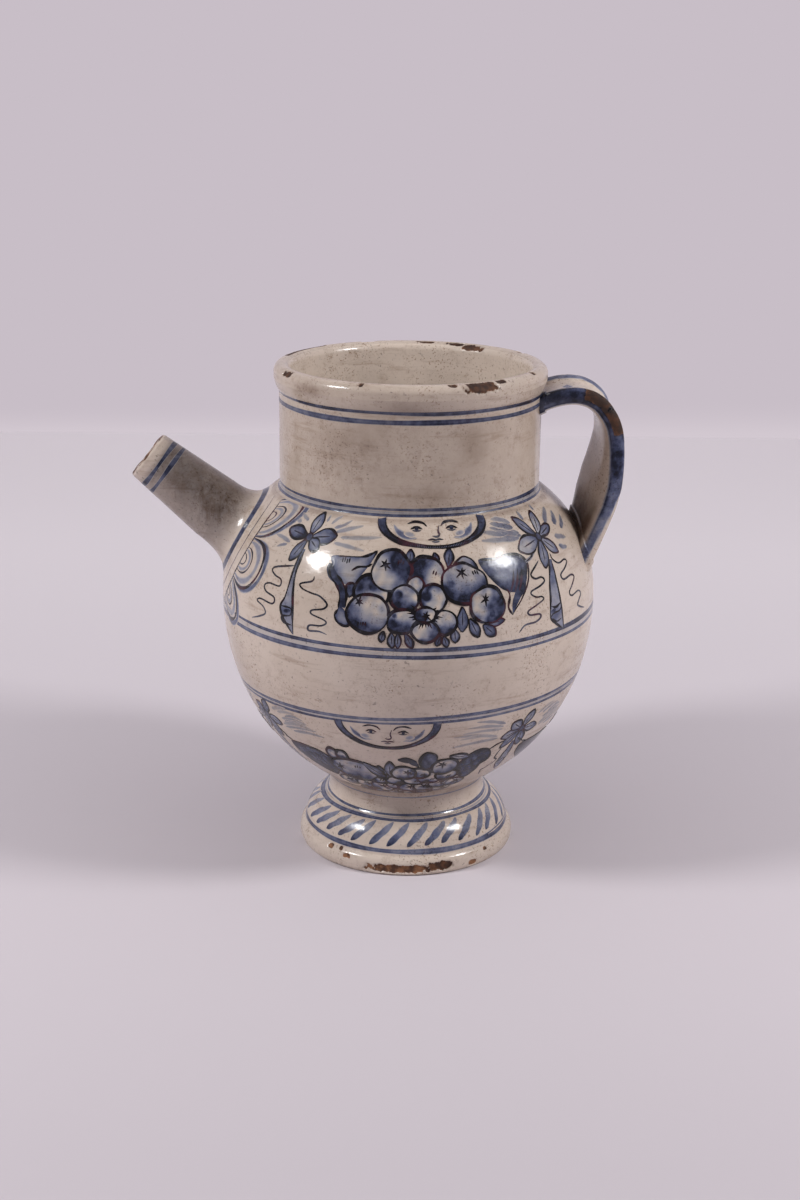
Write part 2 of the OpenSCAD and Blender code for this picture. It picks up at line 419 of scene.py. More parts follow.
@dataclass(frozen=True)
class SpoutWall(Wall):
    """Outer face of the slanting spout, with the run measured along its axis from the body."""

    root: tuple[float, float, float] = (-72.184, 0.0, 139.969)
    tilt: float = math.radians(39)
    length: float = 48.0
    tip_r: float = 10.9
    mid_r: float = 13.9
    root_len: float = 12.0
    bore_r: float = 6.5

    def axes(self) -> tuple[Array, Array, Array]:
        """Sideways, upward and outward directions of the spout.

        Returns:
            Three unit vectors.
        """
        out = np.array([-math.cos(self.tilt), 0.0, math.sin(self.tilt)])
        side = np.array([0.0, -1.0, 0.0])
        return side, np.cross(out, side), out

    def outer(self, s: Array) -> Array:
        """Outer radius at the run s, even under the collar and then tapering to the tip."""
        share = np.clip((np.asarray(s, float) - self.root_len) / (self.length - self.root_len), 0, 1)
        return self.mid_r + (self.tip_r - self.mid_r) * share

    def place(self, angle: Array, s: Array, r: Array) -> Array:
        """Place at an angle, run and radius about the spout's axis.

        Args:
            angle, s, r: Angle, run and radius.

        Returns:
            Places in millimetres.
        """
        side, up, out = self.axes()
        angle, s, r = np.broadcast_arrays(angle, s, r)
        ring = np.cos(angle)[..., None] * side + np.sin(angle)[..., None] * up
        return np.array(self.root) + r[..., None] * ring + s[..., None] * out

    @staticmethod
    def swell(angle: Array) -> Array:
        """How far the hand-made tube lies inside its ideal radius."""
        return 0.12 * (np.sin(2 * np.asarray(angle) + 1.1) - 1)

    def point(self, a: Array, b: Array) -> Array:
        """Place on the outer face at angle a and run b."""
        return self.place(a, b, self.outer(b) + self.swell(a))

    def seat(self, angle: Array, inner: bool, sink: float) -> Array:
        """Run at which the tube meets the body.

        Args:
            angle: Angles about the axis.
            inner: True for the bore, False for the outer face.
            sink: How deep inside the body's face it is taken.

        Returns:
            Runs, negative behind the root.
        """
        low, high = np.full_like(angle, -24.0), np.full_like(angle, 26.0)
        for _ in range(40):
            mid = (low + high) / 2
            p = self.place(angle, mid, self.bore_r if inner else self.outer(mid))
            inside = np.hypot(p[..., 0], p[..., 1]) < BELLY.radius(np.minimum(p[..., 2], 160.0)) - sink
            low, high = np.where(inside, mid, low), np.where(inside, high, mid)
        return (low + high) / 2


SPOUT = SpoutWall()


def belly_polar(rho: Array, theta: Array) -> tuple[Array, Array]:
    """Turns a place round the spout's root into one on the body.

    Args:
        rho: Distance from the root along the wall.
        theta: Angle from straight up, positive towards the front.

    Returns:
        Angle round the jar and height.
    """
    run = BELLY.arc * math.asin((SPOUT.root[2] - BELLY.belt_top) / BELLY.arc) + rho * np.cos(theta)
    z = np.minimum(BELLY.height_at(run), BELLY.seat)
    return FRONT + rho * np.sin(theta) / BELLY.radius(z), z


@dataclass(frozen=True)
class CollarWall(Wall):
    """Hollow curve of the clay collar that flares from the spout's tube to the body."""

    reach: float = 22.5
    climb: float = 12.5
    over_body: float = 0.02
    over_tube: float = 0.05

    def point(self, a: Array, b: Array) -> Array:
        """Place at angle a about the spout and run b, from 0 on the body to 1 on the spout.

        Args:
            a, b: Angle and run.

        Returns:
            Places in millimetres.
        """
        a, b = np.broadcast_arrays(np.asarray(a, float), np.asarray(b, float))
        az, z = belly_polar(np.full_like(a, self.reach), math.pi / 2 - a)
        low = BELLY.lifted(az, z, self.over_body)
        seat = SPOUT.seat(a, False, 0.0)
        foot, top = SPOUT.point(a, seat), SPOUT.lifted(a, seat + self.climb, self.over_tube)
        t = b[..., None]
        return low * (1 - t) ** 2 + 2 * foot * t * (1 - t) + top * t ** 2


@dataclass(frozen=True)
class Patch:
    """A place on a turned wall that motifs are drawn round, in millimetres right and up."""

    az: float
    z: float
    r: float
    flip: int = 1

    def __call__(self, xy: Array) -> tuple[Array, Array]:
        """Angle and height of points given in the patch."""
        return self.az + self.flip * xy[..., 0] / self.r, self.z + xy[..., 1]

    def sub(self, x: float, y: float) -> "Patch":
        """A patch of its own round one point, with the wall's own radius there."""
        az, z = self(np.array([x, y], float))
        return Patch(float(az), float(z), float(BELLY.radius(z)), self.flip)


class Brush:
    """Lays paint on a wall as thin closed films, each one a hair higher than the last."""

    ROOT = -0.08
    WASH_STEP = 0.009
    LINE_STEP = 0.0003
    LINE_OVER = 0.0045

    def __init__(self, name: str, wall: Wall, seed: int, soil: Callable[[Array], Array] = spotless,
                 lift: float = 0.015) -> None:
        """Starts a painted piece.

        Args:
            name: Its name.
            wall: The surface under it.
            seed: Seed of the hand's small irregularities.
            soil: Gives the dirt and painted shade at a run.
            lift: Height of the first film in millimetres.
        """
        self.clay = Clay(name)
        self.wall = wall
        self.hand = np.random.default_rng(seed)
        self.base = lift
        self.lift = lift
        self.soil = soil

    def fresh(self) -> None:
        """Starts again at the lowest film, for motifs that stay clear of the ones before."""
        self.lift = self.base

    def film(self, a: Array, b: Array, cobalt: Array, line: Array, over: float = 0.0, ring: bool = False,
             pole: bool = False) -> None:
        """Adds one closed film that stands on the wall.

        Args:
            a, b: Angles and runs of a grid of points.
            cobalt, line: Blue and dark density there.
            over: Height over the films laid so far.
            ring: True if the rows close round.
            pole: True if the first row is one point, repeated.
        """
        marks = {Mark.COBALT: np.clip(cobalt, 0, 1), Mark.LINE: np.clip(line, 0, 1), Mark.SOIL: self.soil(b)}
        top_xyz, low_xyz = self.wall.lifted(a, b, self.lift + over), self.wall.lifted(a, b, self.ROOT)
        if pole:
            cut, tip = {m: v[1:] for m, v in marks.items()}, {m: v[0, :1] for m, v in marks.items()}
            top, low = self.clay.add(top_xyz[1:], cut), self.clay.add(low_xyz[1:], cut)
            top_tip, low_tip = self.clay.add(top_xyz[0, :1], tip), self.clay.add(low_xyz[0, :1], tip)
            self.clay.fan(int(top_tip[0]), top[0])
            self.clay.fan(int(low_tip[0]), low[0], turn=True, flat=True)
            self.clay.quads(top, around=True, turn=True)
            self.clay.quads(low, around=True, flat=True)
            self.clay.quads(np.stack([top[-1], low[-1]]), around=True, turn=True, flat=True)
            return
        top, low = self.clay.add(top_xyz, marks), self.clay.add(low_xyz, marks)
        self.clay.quads(top, along=ring)
        self.clay.quads(low, along=ring, turn=True, flat=True)
        for col, turn in ((0, True), (-1, False)):
            self.clay.quads(np.stack([top[:, col], low[:, col]], axis=1), along=ring, turn=turn, flat=True)
        if not ring:
            for row, turn in ((0, False), (-1, True)):
                self.clay.quads(np.stack([top[row], low[row]], axis=1), turn=turn, flat=True)

    def ribbon(self, place: Place, path: Path, width: Any, cobalt: Any = 0.0, line: Any = 0.0,
               ends: tuple[float, float] = (0.25, 0.25), soft: float = 0.0, closed: bool = False,
               step: float = 0.6) -> None:
        """Draws one brush stroke.

        Args:
            place: Turns points of the drawing into angles and runs.
            path: Points that it runs through.
            width, cobalt, line: Width, blue and dark density, each one number or several along it.
            ends: Shares of it that taper at its start and end.
            soft: Share of the half width over which its sides fade.
            closed: True if it meets its own start.
            step: Length of one step.
        """
        p = smooth_path(path, closed, step)
        n = len(p)
        t = np.linspace(0, 1, n)
        if closed:
            run = np.roll(p, -1, axis=0) - np.roll(p, 1, axis=0)
        else:
            run = np.gradient(p, axis=0)
        run /= np.maximum(np.linalg.norm(run, axis=1, keepdims=True), 1e-9)
        side = np.stack([run[:, 1], -run[:, 0]], axis=1)
        along = lambda value: np.interp(t, np.linspace(0, 1, np.size(value)), np.atleast_1d(value))
        shake = 1 + 0.1 * np.sin(t * self.hand.uniform(9, 17) + self.hand.uniform(0, 6))
        taper = np.ones(n)
        if not closed:
            for share, way in ((ends[0], t), (ends[1], 1 - t)):
                if share > 0:
                    taper *= 0.12 + 0.88 * np.sqrt(np.clip(way / share, 0, 1))
        half = 0.5 * along(width) * shake * taper
        edge = 1.0 - soft
        across, fade = np.linspace(-1.0, 1.0, 5), np.ones(5)
        if soft:
            across = np.array([-1.0, -edge, -edge / 3, edge / 3, edge, 1.0])
            fade = np.array([0.0, 1.0, 1.0, 1.0, 1.0, 0.0])
        xy = p[:, None, :] + side[:, None, :] * half[:, None, None] * across[None, :, None]
        a, b = place(xy)
        self.lift += self.LINE_STEP
        blue, dark = along(cobalt)[:, None] * fade, along(line)[:, None] * fade
        self.film(a, b, blue, dark, self.LINE_OVER, ring=closed)

    def wash(self, place: Place, outline: Path, tone: Tone, soft: bool = False, step: float = 0.8,
             rings: int = 6) -> None:
        """Fills a rounded outline with a watery tone.

        Args:
            place: Turns points of the drawing into angles and runs.
            outline: Points in order.
            tone: Gives the density from the share of the way out and the offset from the middle.
            soft: True to let the tone run out at the edge.
            step: Length of one step along the outline.
            rings: Number of rings from the middle out.
        """
        p = smooth_path(outline, True, step)
        if np.sum(p[:, 0] * np.roll(p[:, 1], -1) - np.roll(p[:, 0], -1) * p[:, 1]) < 0:
            p = p[::-1]
        middle = p.mean(axis=0)
        share = np.linspace(0, 1, rings + 1)
        offset = (p - middle)[None] * share[:, None, None]
        a, b = place(middle + offset)
        cobalt = tone(np.broadcast_to(share[:, None], offset.shape[:2]), offset)
        if soft:
            cobalt = cobalt * (1 - rise(0.55, 1.0, share))[:, None]
        self.lift += self.WASH_STEP
        self.film(a, b, cobalt, 0.0 * cobalt, pole=True)

    def hoop(self, middle: Array, half: Array, cobalt: Array, fade: Path, dark: float = 0.0) -> None:
        """Draws one ring round the wall.

        Args:
            middle, half, cobalt: Run, half width and blue density at even angles all round.
            fade: Place from -1 to 1 and share of the density, for each line of it.
            dark: Dark density for each part of blue.
        """
        across, share = np.array(fade).T
        a = ring_angles(len(middle))[:, None] + 0 * across
        blue = cobalt[:, None] * share
        self.film(a, middle[:, None] - half[:, None] * across, blue, dark * blue, ring=True)

    def make(self, material: Any) -> Any:
        """Turns the films into one piece."""
        return self.clay.make(material)


def ray(degrees: float) -> Array:
    """Direction of length 1 at an angle from the right."""
    return np.array([math.cos(math.radians(degrees)), math.sin(math.radians(degrees))])


def oval(x: float, y: float, rx: float, ry: float, turn: float = 0.0, count: int = 12) -> Array:
    """Points of an ellipse.

    Args:
        x, y: Its middle.
        rx, ry: Half width and half height.
        turn: Turn in degrees.
        count: Number of points.

    Returns:
        Points in order.
    """
    t = ring_angles(count)
    c, s = ray(turn)
    px, py = rx * np.cos(t), ry * np.sin(t)
    return np.stack([x + c * px - s * py, y + s * px + c * py], axis=1)


def leaf_shape(length: float, width: float, turn: float) -> Array:
    """Outline of a leaf that starts at the origin.

    Args:
        length, width: Its size.
        turn: Direction of the tip in degrees.

    Returns:
        Points in order.
    """
    t = np.array([0.0, 0.2, 0.45, 0.7, 0.88, 1.0])
    w = np.array([0.12, 0.55, 0.95, 0.9, 0.515, 0.0]) * width / 2
    side = np.stack([t * length, w], axis=1)
    back = np.stack([t * length, -w], axis=1)[-2::-1]
    ring = np.vstack([side, back])
    c, s = ray(turn)
    return ring @ np.array([[c, s], [-s, c]])


def shaded(light: float, deep: float, size: float, spots: Path, blots: Path) -> Tone:
    """Tone of a round fruit: pale towards the light, deep on the far side, pooled and spotted.

    Args:
        light: Direction of the light in degrees.
        deep: Density on the far side.
        size: Its radius.
        spots: Place and size of each dark spot.
        blots: Place and strength of each watery blot.

    Returns:
        A tone for Brush.wash.
    """
    pale, rim = 0.1, 0.3
    way = ray(light)

    def tone(share: Array, offset: Array) -> Array:
        """Density at a share of the way out and an offset from the middle.

        Args:
            share, offset: Share from 0 to 1, and millimetres right and up.

        Returns:
            Density from 0 to 1.
        """
        x, y = offset[..., 0], offset[..., 1]
        away = 0.5 - 0.5 * (offset @ way) / size
        pool = np.sin(offset @ np.array([1.05, 0.4]) + light)
        pool = pool * np.sin(offset @ np.array([-0.5, 0.95]) + 2 * light)
        swirl = np.sin(9 * share + 3 * np.arctan2(y, x) + light)
        total = pale + (deep - pale) * rise(0.26, 0.84, away) + rim * share ** 4
        total = total + (0.2 * pool + 0.1 * swirl) * share
        for blot_x, blot_y, strength in blots:
            total = total + strength * np.exp(-((x - blot_x) ** 2 + (y - blot_y) ** 2) / (0.3 * size) ** 2)
        for spot_x, spot_y, r in spots:
            far = np.hypot(x - spot_x, y - spot_y) / r
            total = np.maximum(total, 0.97 * (1 - rise(0.5, 1.3, far)))
        return np.clip(total, 0, 1)

    return tone


@dataclass(frozen=True)
class Knot:
    """A flower that holds up a garland, drawn in millimetres right and up from its heart."""

    petals: Path
    strokes: Path
    tendrils: tuple[Path, ...]
    tassel: tuple[Path, Path]
    loops: tuple[Path, ...]
    tone: float
    stroke_width: float
    stroke_tone: float
    stroke_bow: float = 0.0


LEFT_KNOT = Knot(
    petals=((0.7, 8.2, 5.4), (12.2, 1.8, 5.4), (-11.9, 1.2, 4.6), (-4.9, -9, 4.2), (6.2, -3.6, 4.6)),
    strokes=((-8.2, 3.9, -14.5, 6.2), (-5, 5, -11.1, 6.7), (4.6, 5.6, 4.7, 8), (7.1, 5.3, 11.1, 8),
        (9.4, 4.3, 16.4, 7.2), (10.7, 3, 22.3, 5.9), (14, 1.6, 31.2, 2.8), (12, -0.4, 25.1, -2),
        (-8.1, -3.1, -17.7, -1.9), (-9, -4, -14, -5.7)),
    tendrils=(((-1.7, -10.4), (-9.7, -12.4), (-11.3, -13.9), (-9.1, -15.5), (-5.9, -16.5), (-6, -19),
        (-10.8, -18.9), (-13.2, -20.1), (-12.1, -22.3), (-7.5, -23.8), (-8.1, -26.4), (-14.1, -25.9),
        (-16, -27.1), (-12.4, -28.6), (-11.1, -31), (-14, -33), (-18.6, -35)), ((8, -12.6),
        (7.4, -14.5), (2.9, -16.2), (4, -17.8), (7.7, -18.8), (11.4, -19.5), (14.4, -22), (13.2, -24),
        (9, -25.2), (9, -26.7), (13.5, -28.1), (14.6, -29.3), (12.7, -30.7), (8.4, -31.3), (8.1, -33.4),
        (12, -33.1), (15, -33.9))),
    tassel=(((-1.3, -4.1), (-1.1, -6), (-1.7, -15.2), (-2.5, -22.1), (-4.1, -26), (-2.9, -30),
        (1.6, -36.2)), ((0.6, -4.2), (-0.2, -12.4), (0.5, -19.8), (1.2, -25.7), (1.9, -36.6))),
    loops=(((-4.1, -26), (0.5, -26.3), (0.4, -29), (-3, -30), (-2.2, -32.3), (1.4, -32.8)),),
    tone=0.84, stroke_width=1.5, stroke_tone=0.36)

RIGHT_KNOT = Knot(
    petals=((6.7, 8, 4.4), (-8.2, 7.7, 4.2), (-13.4, -2.6, 6.2), (-3.4, -10.8, 5), (7.5, -7, 4.5),
        (11.3, 2.4, 3.2)),
    strokes=((-9.3, 2.9, -22.6, 6.1), (-8.9, 2, -27.7, 5.3), (-10.6, 1.3, -28.7, 2.4),
        (-10.8, 6.5, -19.9, 8.5), (-10.9, 4.9, -21.5, 7.3), (-2.7, 6.2, -2.2, 9.3), (8.8, 8, 10.2, 9.4),
        (9.6, 3.4, 19.4, 7.3), (15.5, 1.9, 22.9, 5.4), (18.9, -0.4, 27.3, 2.9), (10.3, -1.8, 18.4, -3.8),
        (9.8, -5, 15.3, -6.6)),
    tendrils=(((-5.8, -7.5), (-10.6, -10.7), (-11.6, -12.1), (-10, -13.5), (-6.9, -13.5), (-5.8, -15.1),
        (-8.4, -16.5), (-12.6, -17.6), (-13.3, -18.7), (-11.2, -20.3), (-8.7, -20.6), (-7.9, -21.8),
        (-11.6, -23.4), (-15.5, -25), (-14.7, -26.6), (-10.5, -27.1), (-10.1, -28.6), (-12.5, -29.9),
        (-17, -30.2), (-19.6, -32.8)), ((1.8, -6.3), (2.1, -8.7), (5, -10.7), (9.1, -10.3),
        (10.5, -11.4), (7.8, -13.2), (4, -15), (5.1, -17.1), (10.5, -16.7), (12.5, -18), (9.7, -20.6),
        (7.2, -22.8), (8.6, -24.6), (13.7, -24), (15.7, -25.7), (13.8, -27.7), (12.4, -29.4),
        (14.5, -30.9), (18.8, -32.7))),
    tassel=(((0.3, -7.5), (-3.3, -16.1), (-4.4, -23), (-5, -29.9), (-1.7, -33.4), (2.2, -36.4)),
        ((1, -9.2), (0.5, -17), (1, -25.2), (2.5, -36.7))),
    loops=(((-4.6, -25.4), (-2, -26.4), (0.8, -25.4), (0.2, -28), (-3.6, -28.6), (-4.9, -30)),
        ((-4.4, -30.6), (-1.7, -32.4), (1.2, -31.6))),
    tone=0.72, stroke_width=2.3, stroke_tone=0.5)

LOW_KNOT = Knot(
    petals=((3.2, 8.2, 4.2), (8.7, -1.4, 4.4), (-8.6, -2.8, 4.4), (-6.7, -8.4, 4), (3.2, -9.6, 4.6),
        (-5.6, 4.2, 5.2)),
    strokes=((-9.2, 5.1, -21.1, 8.5), (-9.6, 3.8, -24, 5.8), (-9.8, 2.5, -25.4, 3.1),
        (-12.2, -0.3, -28.5, 1.9), (-10.8, -1, -26, 0.2), (-10.2, -2, -28.5, -3.5),
        (6.4, 5.2, 15.2, 7.9), (9, 4.6, 18.5, 6.6), (12.9, 3.6, 21.7, 4.3), (10.5, 2, 23, 3),
        (11.4, 0.7, 22.5, 2.2), (10, -0.8, 24.5, 1), (10.5, -2.1, 26.6, 0.5), (14.4, -2.9, 29.4, -1.7)),
    tendrils=(((-5.7, -8.8), (-6.2, -13.8), (-3.9, -16.2), (-7.6, -20.2), (-8.9, -20.9), (-7, -24.4)),
        ((5.6, -8.4), (9.4, -10.2), (8.2, -13), (12, -14.6), (10.6, -17.4), (14.4, -19.6))),
    tassel=(((-1.6, -6.1), (-2.2, -14.4), (-1.6, -19.4), (3.2, -24)), ((0.2, -6.1), (1.6, -14.4),
        (2.6, -18.6), (3.9, -24.2))),
    loops=(((-2, -17.4), (0.6, -16.4), (2.4, -18), (0.4, -20)),),
    tone=0.78, stroke_width=1.9, stroke_tone=0.3, stroke_bow=0.9)


class SwagPainter:
    """Draws the motifs of the friezes: masks, garlands of fruit, flowers, tassels and tendrils."""

    def __init__(self, brush: Brush) -> None:
        """Takes the brush that lays the paint."""
        self.brush, self.hand = brush, brush.hand
        self.stroke, self.fill = brush.ribbon, brush.wash

    def line(self, patch: Patch, path: Path, width: float, dark: float = 1.0) -> None:
        """Draws an open contour."""
        self.outline(patch, path, width, False, dark)

    def outline(self, patch: Patch, path: Path, width: float = 1.05, closed: bool = True,
                dark: float = 1.0) -> None:
        """Draws a dark contour that swells and thins."""
        swell = width * self.hand.uniform(0.5, 1.5, 9)
        self.stroke(patch, path, swell, 0.6, dark, ends=(0.12, 0.12), closed=closed)

    def hatch(self, patch: Patch, x: float, y: float, count: int, lean: float, size: float = 1.7) -> None:
        """Draws a few short dark dashes side by side.

        Args:
            patch: Where the motif stands.
            x, y: Middle of the first dash.
            count: Number of dashes.
            lean: Their direction in degrees.
            size: Their length.
        """
        dx, dy = 0.5 * size * ray(lean)
        for k in range(count):
            cx, cy = x + 0.95 * k, y + self.hand.uniform(-0.25, 0.25)
            self.stroke(patch, [(cx - dx, cy - dy), (cx + dx, cy + dy)], 0.65, 0.6, 0.95, step=0.4)

    def calyx(self, patch: Patch, x: float, y: float, size: float = 2.4) -> None:
        """Draws the small dark star at a fruit's end.

        Args:
            patch: The fruit's middle.
            x, y: Middle of the star.
            size: Length of its points.
        """
        for turn in (20, 75, 140, 205, 275, 330):
            reach = size * self.hand.uniform(0.7, 1.25)
            tip = (x, y) + reach * ray(turn + self.hand.uniform(-14, 14))
            self.stroke(patch, [(x, y), tip], (1, 0.5), 0.6, 0.97, ends=(0, 0.5), step=0.4)

    def fruit(self, patch: Patch, rx: float, ry: float, light: float, deep: float,
              star: Optional[tuple[float, float]] = None,
              dashes: Optional[tuple[float, float, int, float]] = None, spots: Path = ()) -> None:
        """Paints one fruit or round petal with its contour.

        Args:
            patch: Its middle.
            rx, ry: Half width and half height.
            light: Direction of the light in degrees.
            deep: Blue density on the far side.
            star: Place of its dark star.
            dashes: Place, number and lean of short dashes.
            spots: Place and size of each dark spot.
        """
        edge = oval(0, 0, rx, ry, self.hand.uniform(-8, 8)) * self.hand.uniform(0.95, 1.05, (12, 1))
        where = self.hand.uniform(-0.85, 0.85, (9, 2)) * (rx, ry)
        blots = np.column_stack([where, self.hand.uniform(-0.3, 0.36, 9)])
        tone = shaded(light, deep, max(rx, ry), spots, blots)
        self.fill(patch, edge, tone, step=0.6, rings=9)
        self.outline(patch, edge)
        if star:
            self.calyx(patch, *star)
        if dashes:
            self.hatch(patch, *dashes)

    def filled(self, patch: Patch, edge: Path, tone: float, ribs: Path = ()) -> None:
        """Paints a dark leaf of free outline.

        Args:
            patch: Where it stands.
            edge: Points of its outline.
            tone: Blue density.
            ribs: Two ends of each dark rib.
        """
        mottled = lambda share, offset: tone - 0.3 * (1 - share) * np.sin(offset @ np.array([0.9, 0.5])) ** 2
        self.fill(patch, edge, mottled, step=0.6, rings=7)
        self.outline(patch, edge)
        for x0, y0, x1, y1 in ribs:
            middle = ((x0 + x1) / 2, (y0 + y1) / 2 + 0.4)
            self.stroke(patch, [(x0, y0), middle, (x1, y1)], 0.7, 0.8, 0.8, step=0.5)

    def leaf(self, patch: Patch, length: float, width: float, turn: float, tone: float) -> None:
        """Paints one leaf or petal.

        Args:
            patch: Its base.
            length, width: Its size.
            turn: Direction of the tip in degrees.
            tone: Blue density.
        """
        edge = leaf_shape(length, width, turn)
        mix = self.hand.uniform(-0.14, 0.14)
        wet = lambda share, offset: tone + mix - 0.42 * (1 - share) + 0.04 * offset[..., 0]
        self.fill(patch, edge, wet, step=0.6, rings=4)
        self.outline(patch, edge, 0.68)
        rib = [k * length * ray(turn) for k in (0.15, 0.75)]
        self.stroke(patch, rib, 0.5, 0.8, 0.7, step=0.5)

    def strip(self, patch: Patch, left: Path, right: Path, tone: Any) -> None:
        """Fills the space between two lines.

        Args:
            patch: Where they stand.
            left, right: The lines.
            tone: Blue density, one number or several along them.
        """
        t = np.linspace(0, 1, 24)
        runs = [smooth_path(line, False, 0.5) for line in (left, right)]
        even = lambda p: np.stack([np.interp(t, np.linspace(0, 1, len(p)), p[:, k]) for k in (0, 1)], axis=1)
        one, two = map(even, runs)
        self.stroke(patch, (one + two) / 2, np.linalg.norm(one - two, axis=1), tone, ends=(0, 0))

    def knot(self, patch: Patch, knot: Knot) -> None:
        """Paints a flower with its pale strokes, tassel and tendrils.

        Args:
            patch: The flower's heart.
            knot: What is drawn round it.
        """
        for x0, y0, x1, y1 in knot.strokes:
            mid = ((x0 + x1) / 2, (y0 + y1) / 2 + knot.stroke_bow + self.hand.uniform(-0.5, 0.5))
            tone = knot.stroke_tone * self.hand.uniform(0.8, 1.2)
            width = knot.stroke_width * self.hand.uniform(0.85, 1.2)
            self.stroke(patch, [(x0, y0), mid, (x1, y1)], width, (tone, 0.9 * tone, 0.6 * tone), 0.45 * tone,
                        ends=(0.15, 0.4), soft=0.5)
        for path in knot.tendrils:
            self.stroke(patch, path, (0.75, 0.7, 0.68, 0.7, 0.8), 0.6, (0.92, 0.9, 0.88, 0.8, 0.45),
                        ends=(0.05, 0.08), step=0.45)
        self.strip(patch, *knot.tassel, (0.85, 0.7, 0.6, 0.45, 0.4, 0.7, 0.45, 0.6))
        for line in knot.tassel:
            self.line(patch, line, 0.8)
        for line in knot.loops:
            self.line(patch, line, 0.75, 0.95)
        x, y = knot.loops[0][1]
        bead = oval(x - 1.6, y - 1.2, 1.5, 0.8, 15, 8)
        self.fill(patch, bead, lambda share, offset: 0.95 - 0.1 * share, step=0.5, rings=3)
        start = 0.9
        for x, y, width in knot.petals:
            a = math.atan2(y, x)
            az, z = patch.az + patch.flip * start * math.cos(a) / patch.r, patch.z + start * math.sin(a)
            base = Patch(az, z, patch.r, patch.flip)
            self.leaf(base, math.hypot(x, y) - start, width, math.degrees(a), knot.tone)
        heart = oval(0, 0, 1.6, 1.4, 0, 8)
        self.fill(patch, heart, lambda share, offset: 0.8 + 0.1 * share, step=0.5, rings=3)
        self.outline(patch, heart, 0.6)

    def mask(self, patch: Patch, half: float, drop: float) -> None:
        """Paints a calm mask of simple standard features inside a hanging crescent.

        Args:
            patch: Middle of the crescent's upper edge.
            half: Half of its width.
            drop: How far it hangs down.
        """
        def bow(k: float, lower: float) -> Array:
            """Half ellipse scaled by k and drawn up by lower."""
            t = np.linspace(math.pi, TURN, 17)
            return np.stack([half * k * np.cos(t), (drop - lower) * np.sin(t)], axis=1)

        inner = bow(0.86, 0.06 * drop)
        self.strip(patch, bow(1, 0), inner, (0.8, 0.92, 0.97, 0.8, 0.55, 0.5, 0.55, 0.8, 0.97, 0.92, 0.8))
        self.line(patch, bow(1, 0), 0.85)
        self.line(patch, inner, 0.7)
        u, v = half / 25, drop / 10.4
        on = lambda points, side=1: [(side * x * u, y * v) for x, y in points]
        draw = lambda points, width, dark, side=1: self.stroke(patch, on(points, side), width, 0.5, dark)
        for side in (-1, 1):
            shade = on(((17.5, -2), (15.5, -4.4), (11.8, -6.2), (7.5, -6.9)), side)
            self.stroke(patch, shade, (1.4, 2.4, 2.2, 1), (0.4, 0.75, 0.65, 0.3), soft=0.6)
            draw(((11.5, -1.6), (8.3, -0.9), (4.8, -1.3), (3, -2.6)), 0.7, 0.92, side)
            draw(((10.2, -3.5), (7.6, -2.7), (5, -3.5)), 0.65, 0.95, side)
            draw(((9.4, -3.9), (7.6, -4.2), (5.6, -3.9)), 0.45, 0.7, side)
            eye = oval(side * 7.6 * u, -3.4 * v, 0.8 * u, 0.65 * v, 0, 8)
            cheek = oval(side * 10.6 * u, -5.4 * v, 2.6 * u, 1.1 * v, side * 12, 9)
            self.fill(patch, eye, lambda share, offset: 1.0 - 0.05 * share, step=0.35, rings=3)
            self.fill(patch, cheek, lambda share, offset: 0.5 * (1 - 0.5 * share), soft=True)
        nose = ((2.4, -2.2), (1.5, -4.2), (1.9, -5.7), (0.6, -6.3), (-1.2, -6))
        draw(nose, (0.4, 0.5, 0.65, 0.65, 0.4), 0.82)
        draw(((-3.2, -7.4), (-1.2, -7.2), (0, -7.45), (1.2, -7.2), (3.2, -7.4)), 0.55, 0.9)
        draw(((-1.6, -8), (0, -8.2), (1.6, -8)), 0.4, 0.6)

    def centre_flower(self, patch: Patch) -> None:
        """Paints the open flower in the middle of a garland.

        Args:
            patch: The flower's heart.
        """
        for x, y, rx, ry, light, deep, spots in (
                (-3.7, 10.4, 3.4, 3.4, 90, 0.5, ()), (-8.1, 6.1, 5.4, 4.9, 60, 0.95, ((-2.4, 1.2, 2.2),)),
                (3.1, 6.1, 5.3, 4.9, -30, 0.9, ((-2.6, 0.8, 2.6),)), (7.7, -3.1, 4.6, 4.7, 80, 0.85, ()),
                (-8.6, -2.6, 6.2, 4.7, 75, 0.92, ((-3.4, 2.2, 1.2),)), (0, -6.5, 5.4, 4.2, 150, 0.8, ())):
            self.fruit(patch.sub(x, y), rx, ry, light, deep, spots=spots)
        for turn, count, near, far in ((180, 6, 3.6, 7.6), (0, 6, 3.6, 7), (270, 5, 2.9, 6.4)):
            for k in range(count):
                way = ray(turn + (k - (count - 1) / 2) * 13 + self.hand.uniform(-3, 3))
                ends = [r * way for r in (near, far * self.hand.uniform(0.7, 1))]
                self.stroke(patch, ends, (0.95, 0.35), 0.6, 0.95, ends=(0, 0.5))
        self.fruit(patch, 4.2, 2.9, 20, 0.95, star=(0.2, -0.3))

    @staticmethod
    def sheet(patch: Patch, *points: tuple[float, float]) -> list[tuple[float, float]]:
        """Stretches points of the upper garland's drawing over the wall, as millimetres in the patch."""
        return [(0.98 * x - 0.4, 0.928 * z + 13.4 - patch.z) for x, z in points]

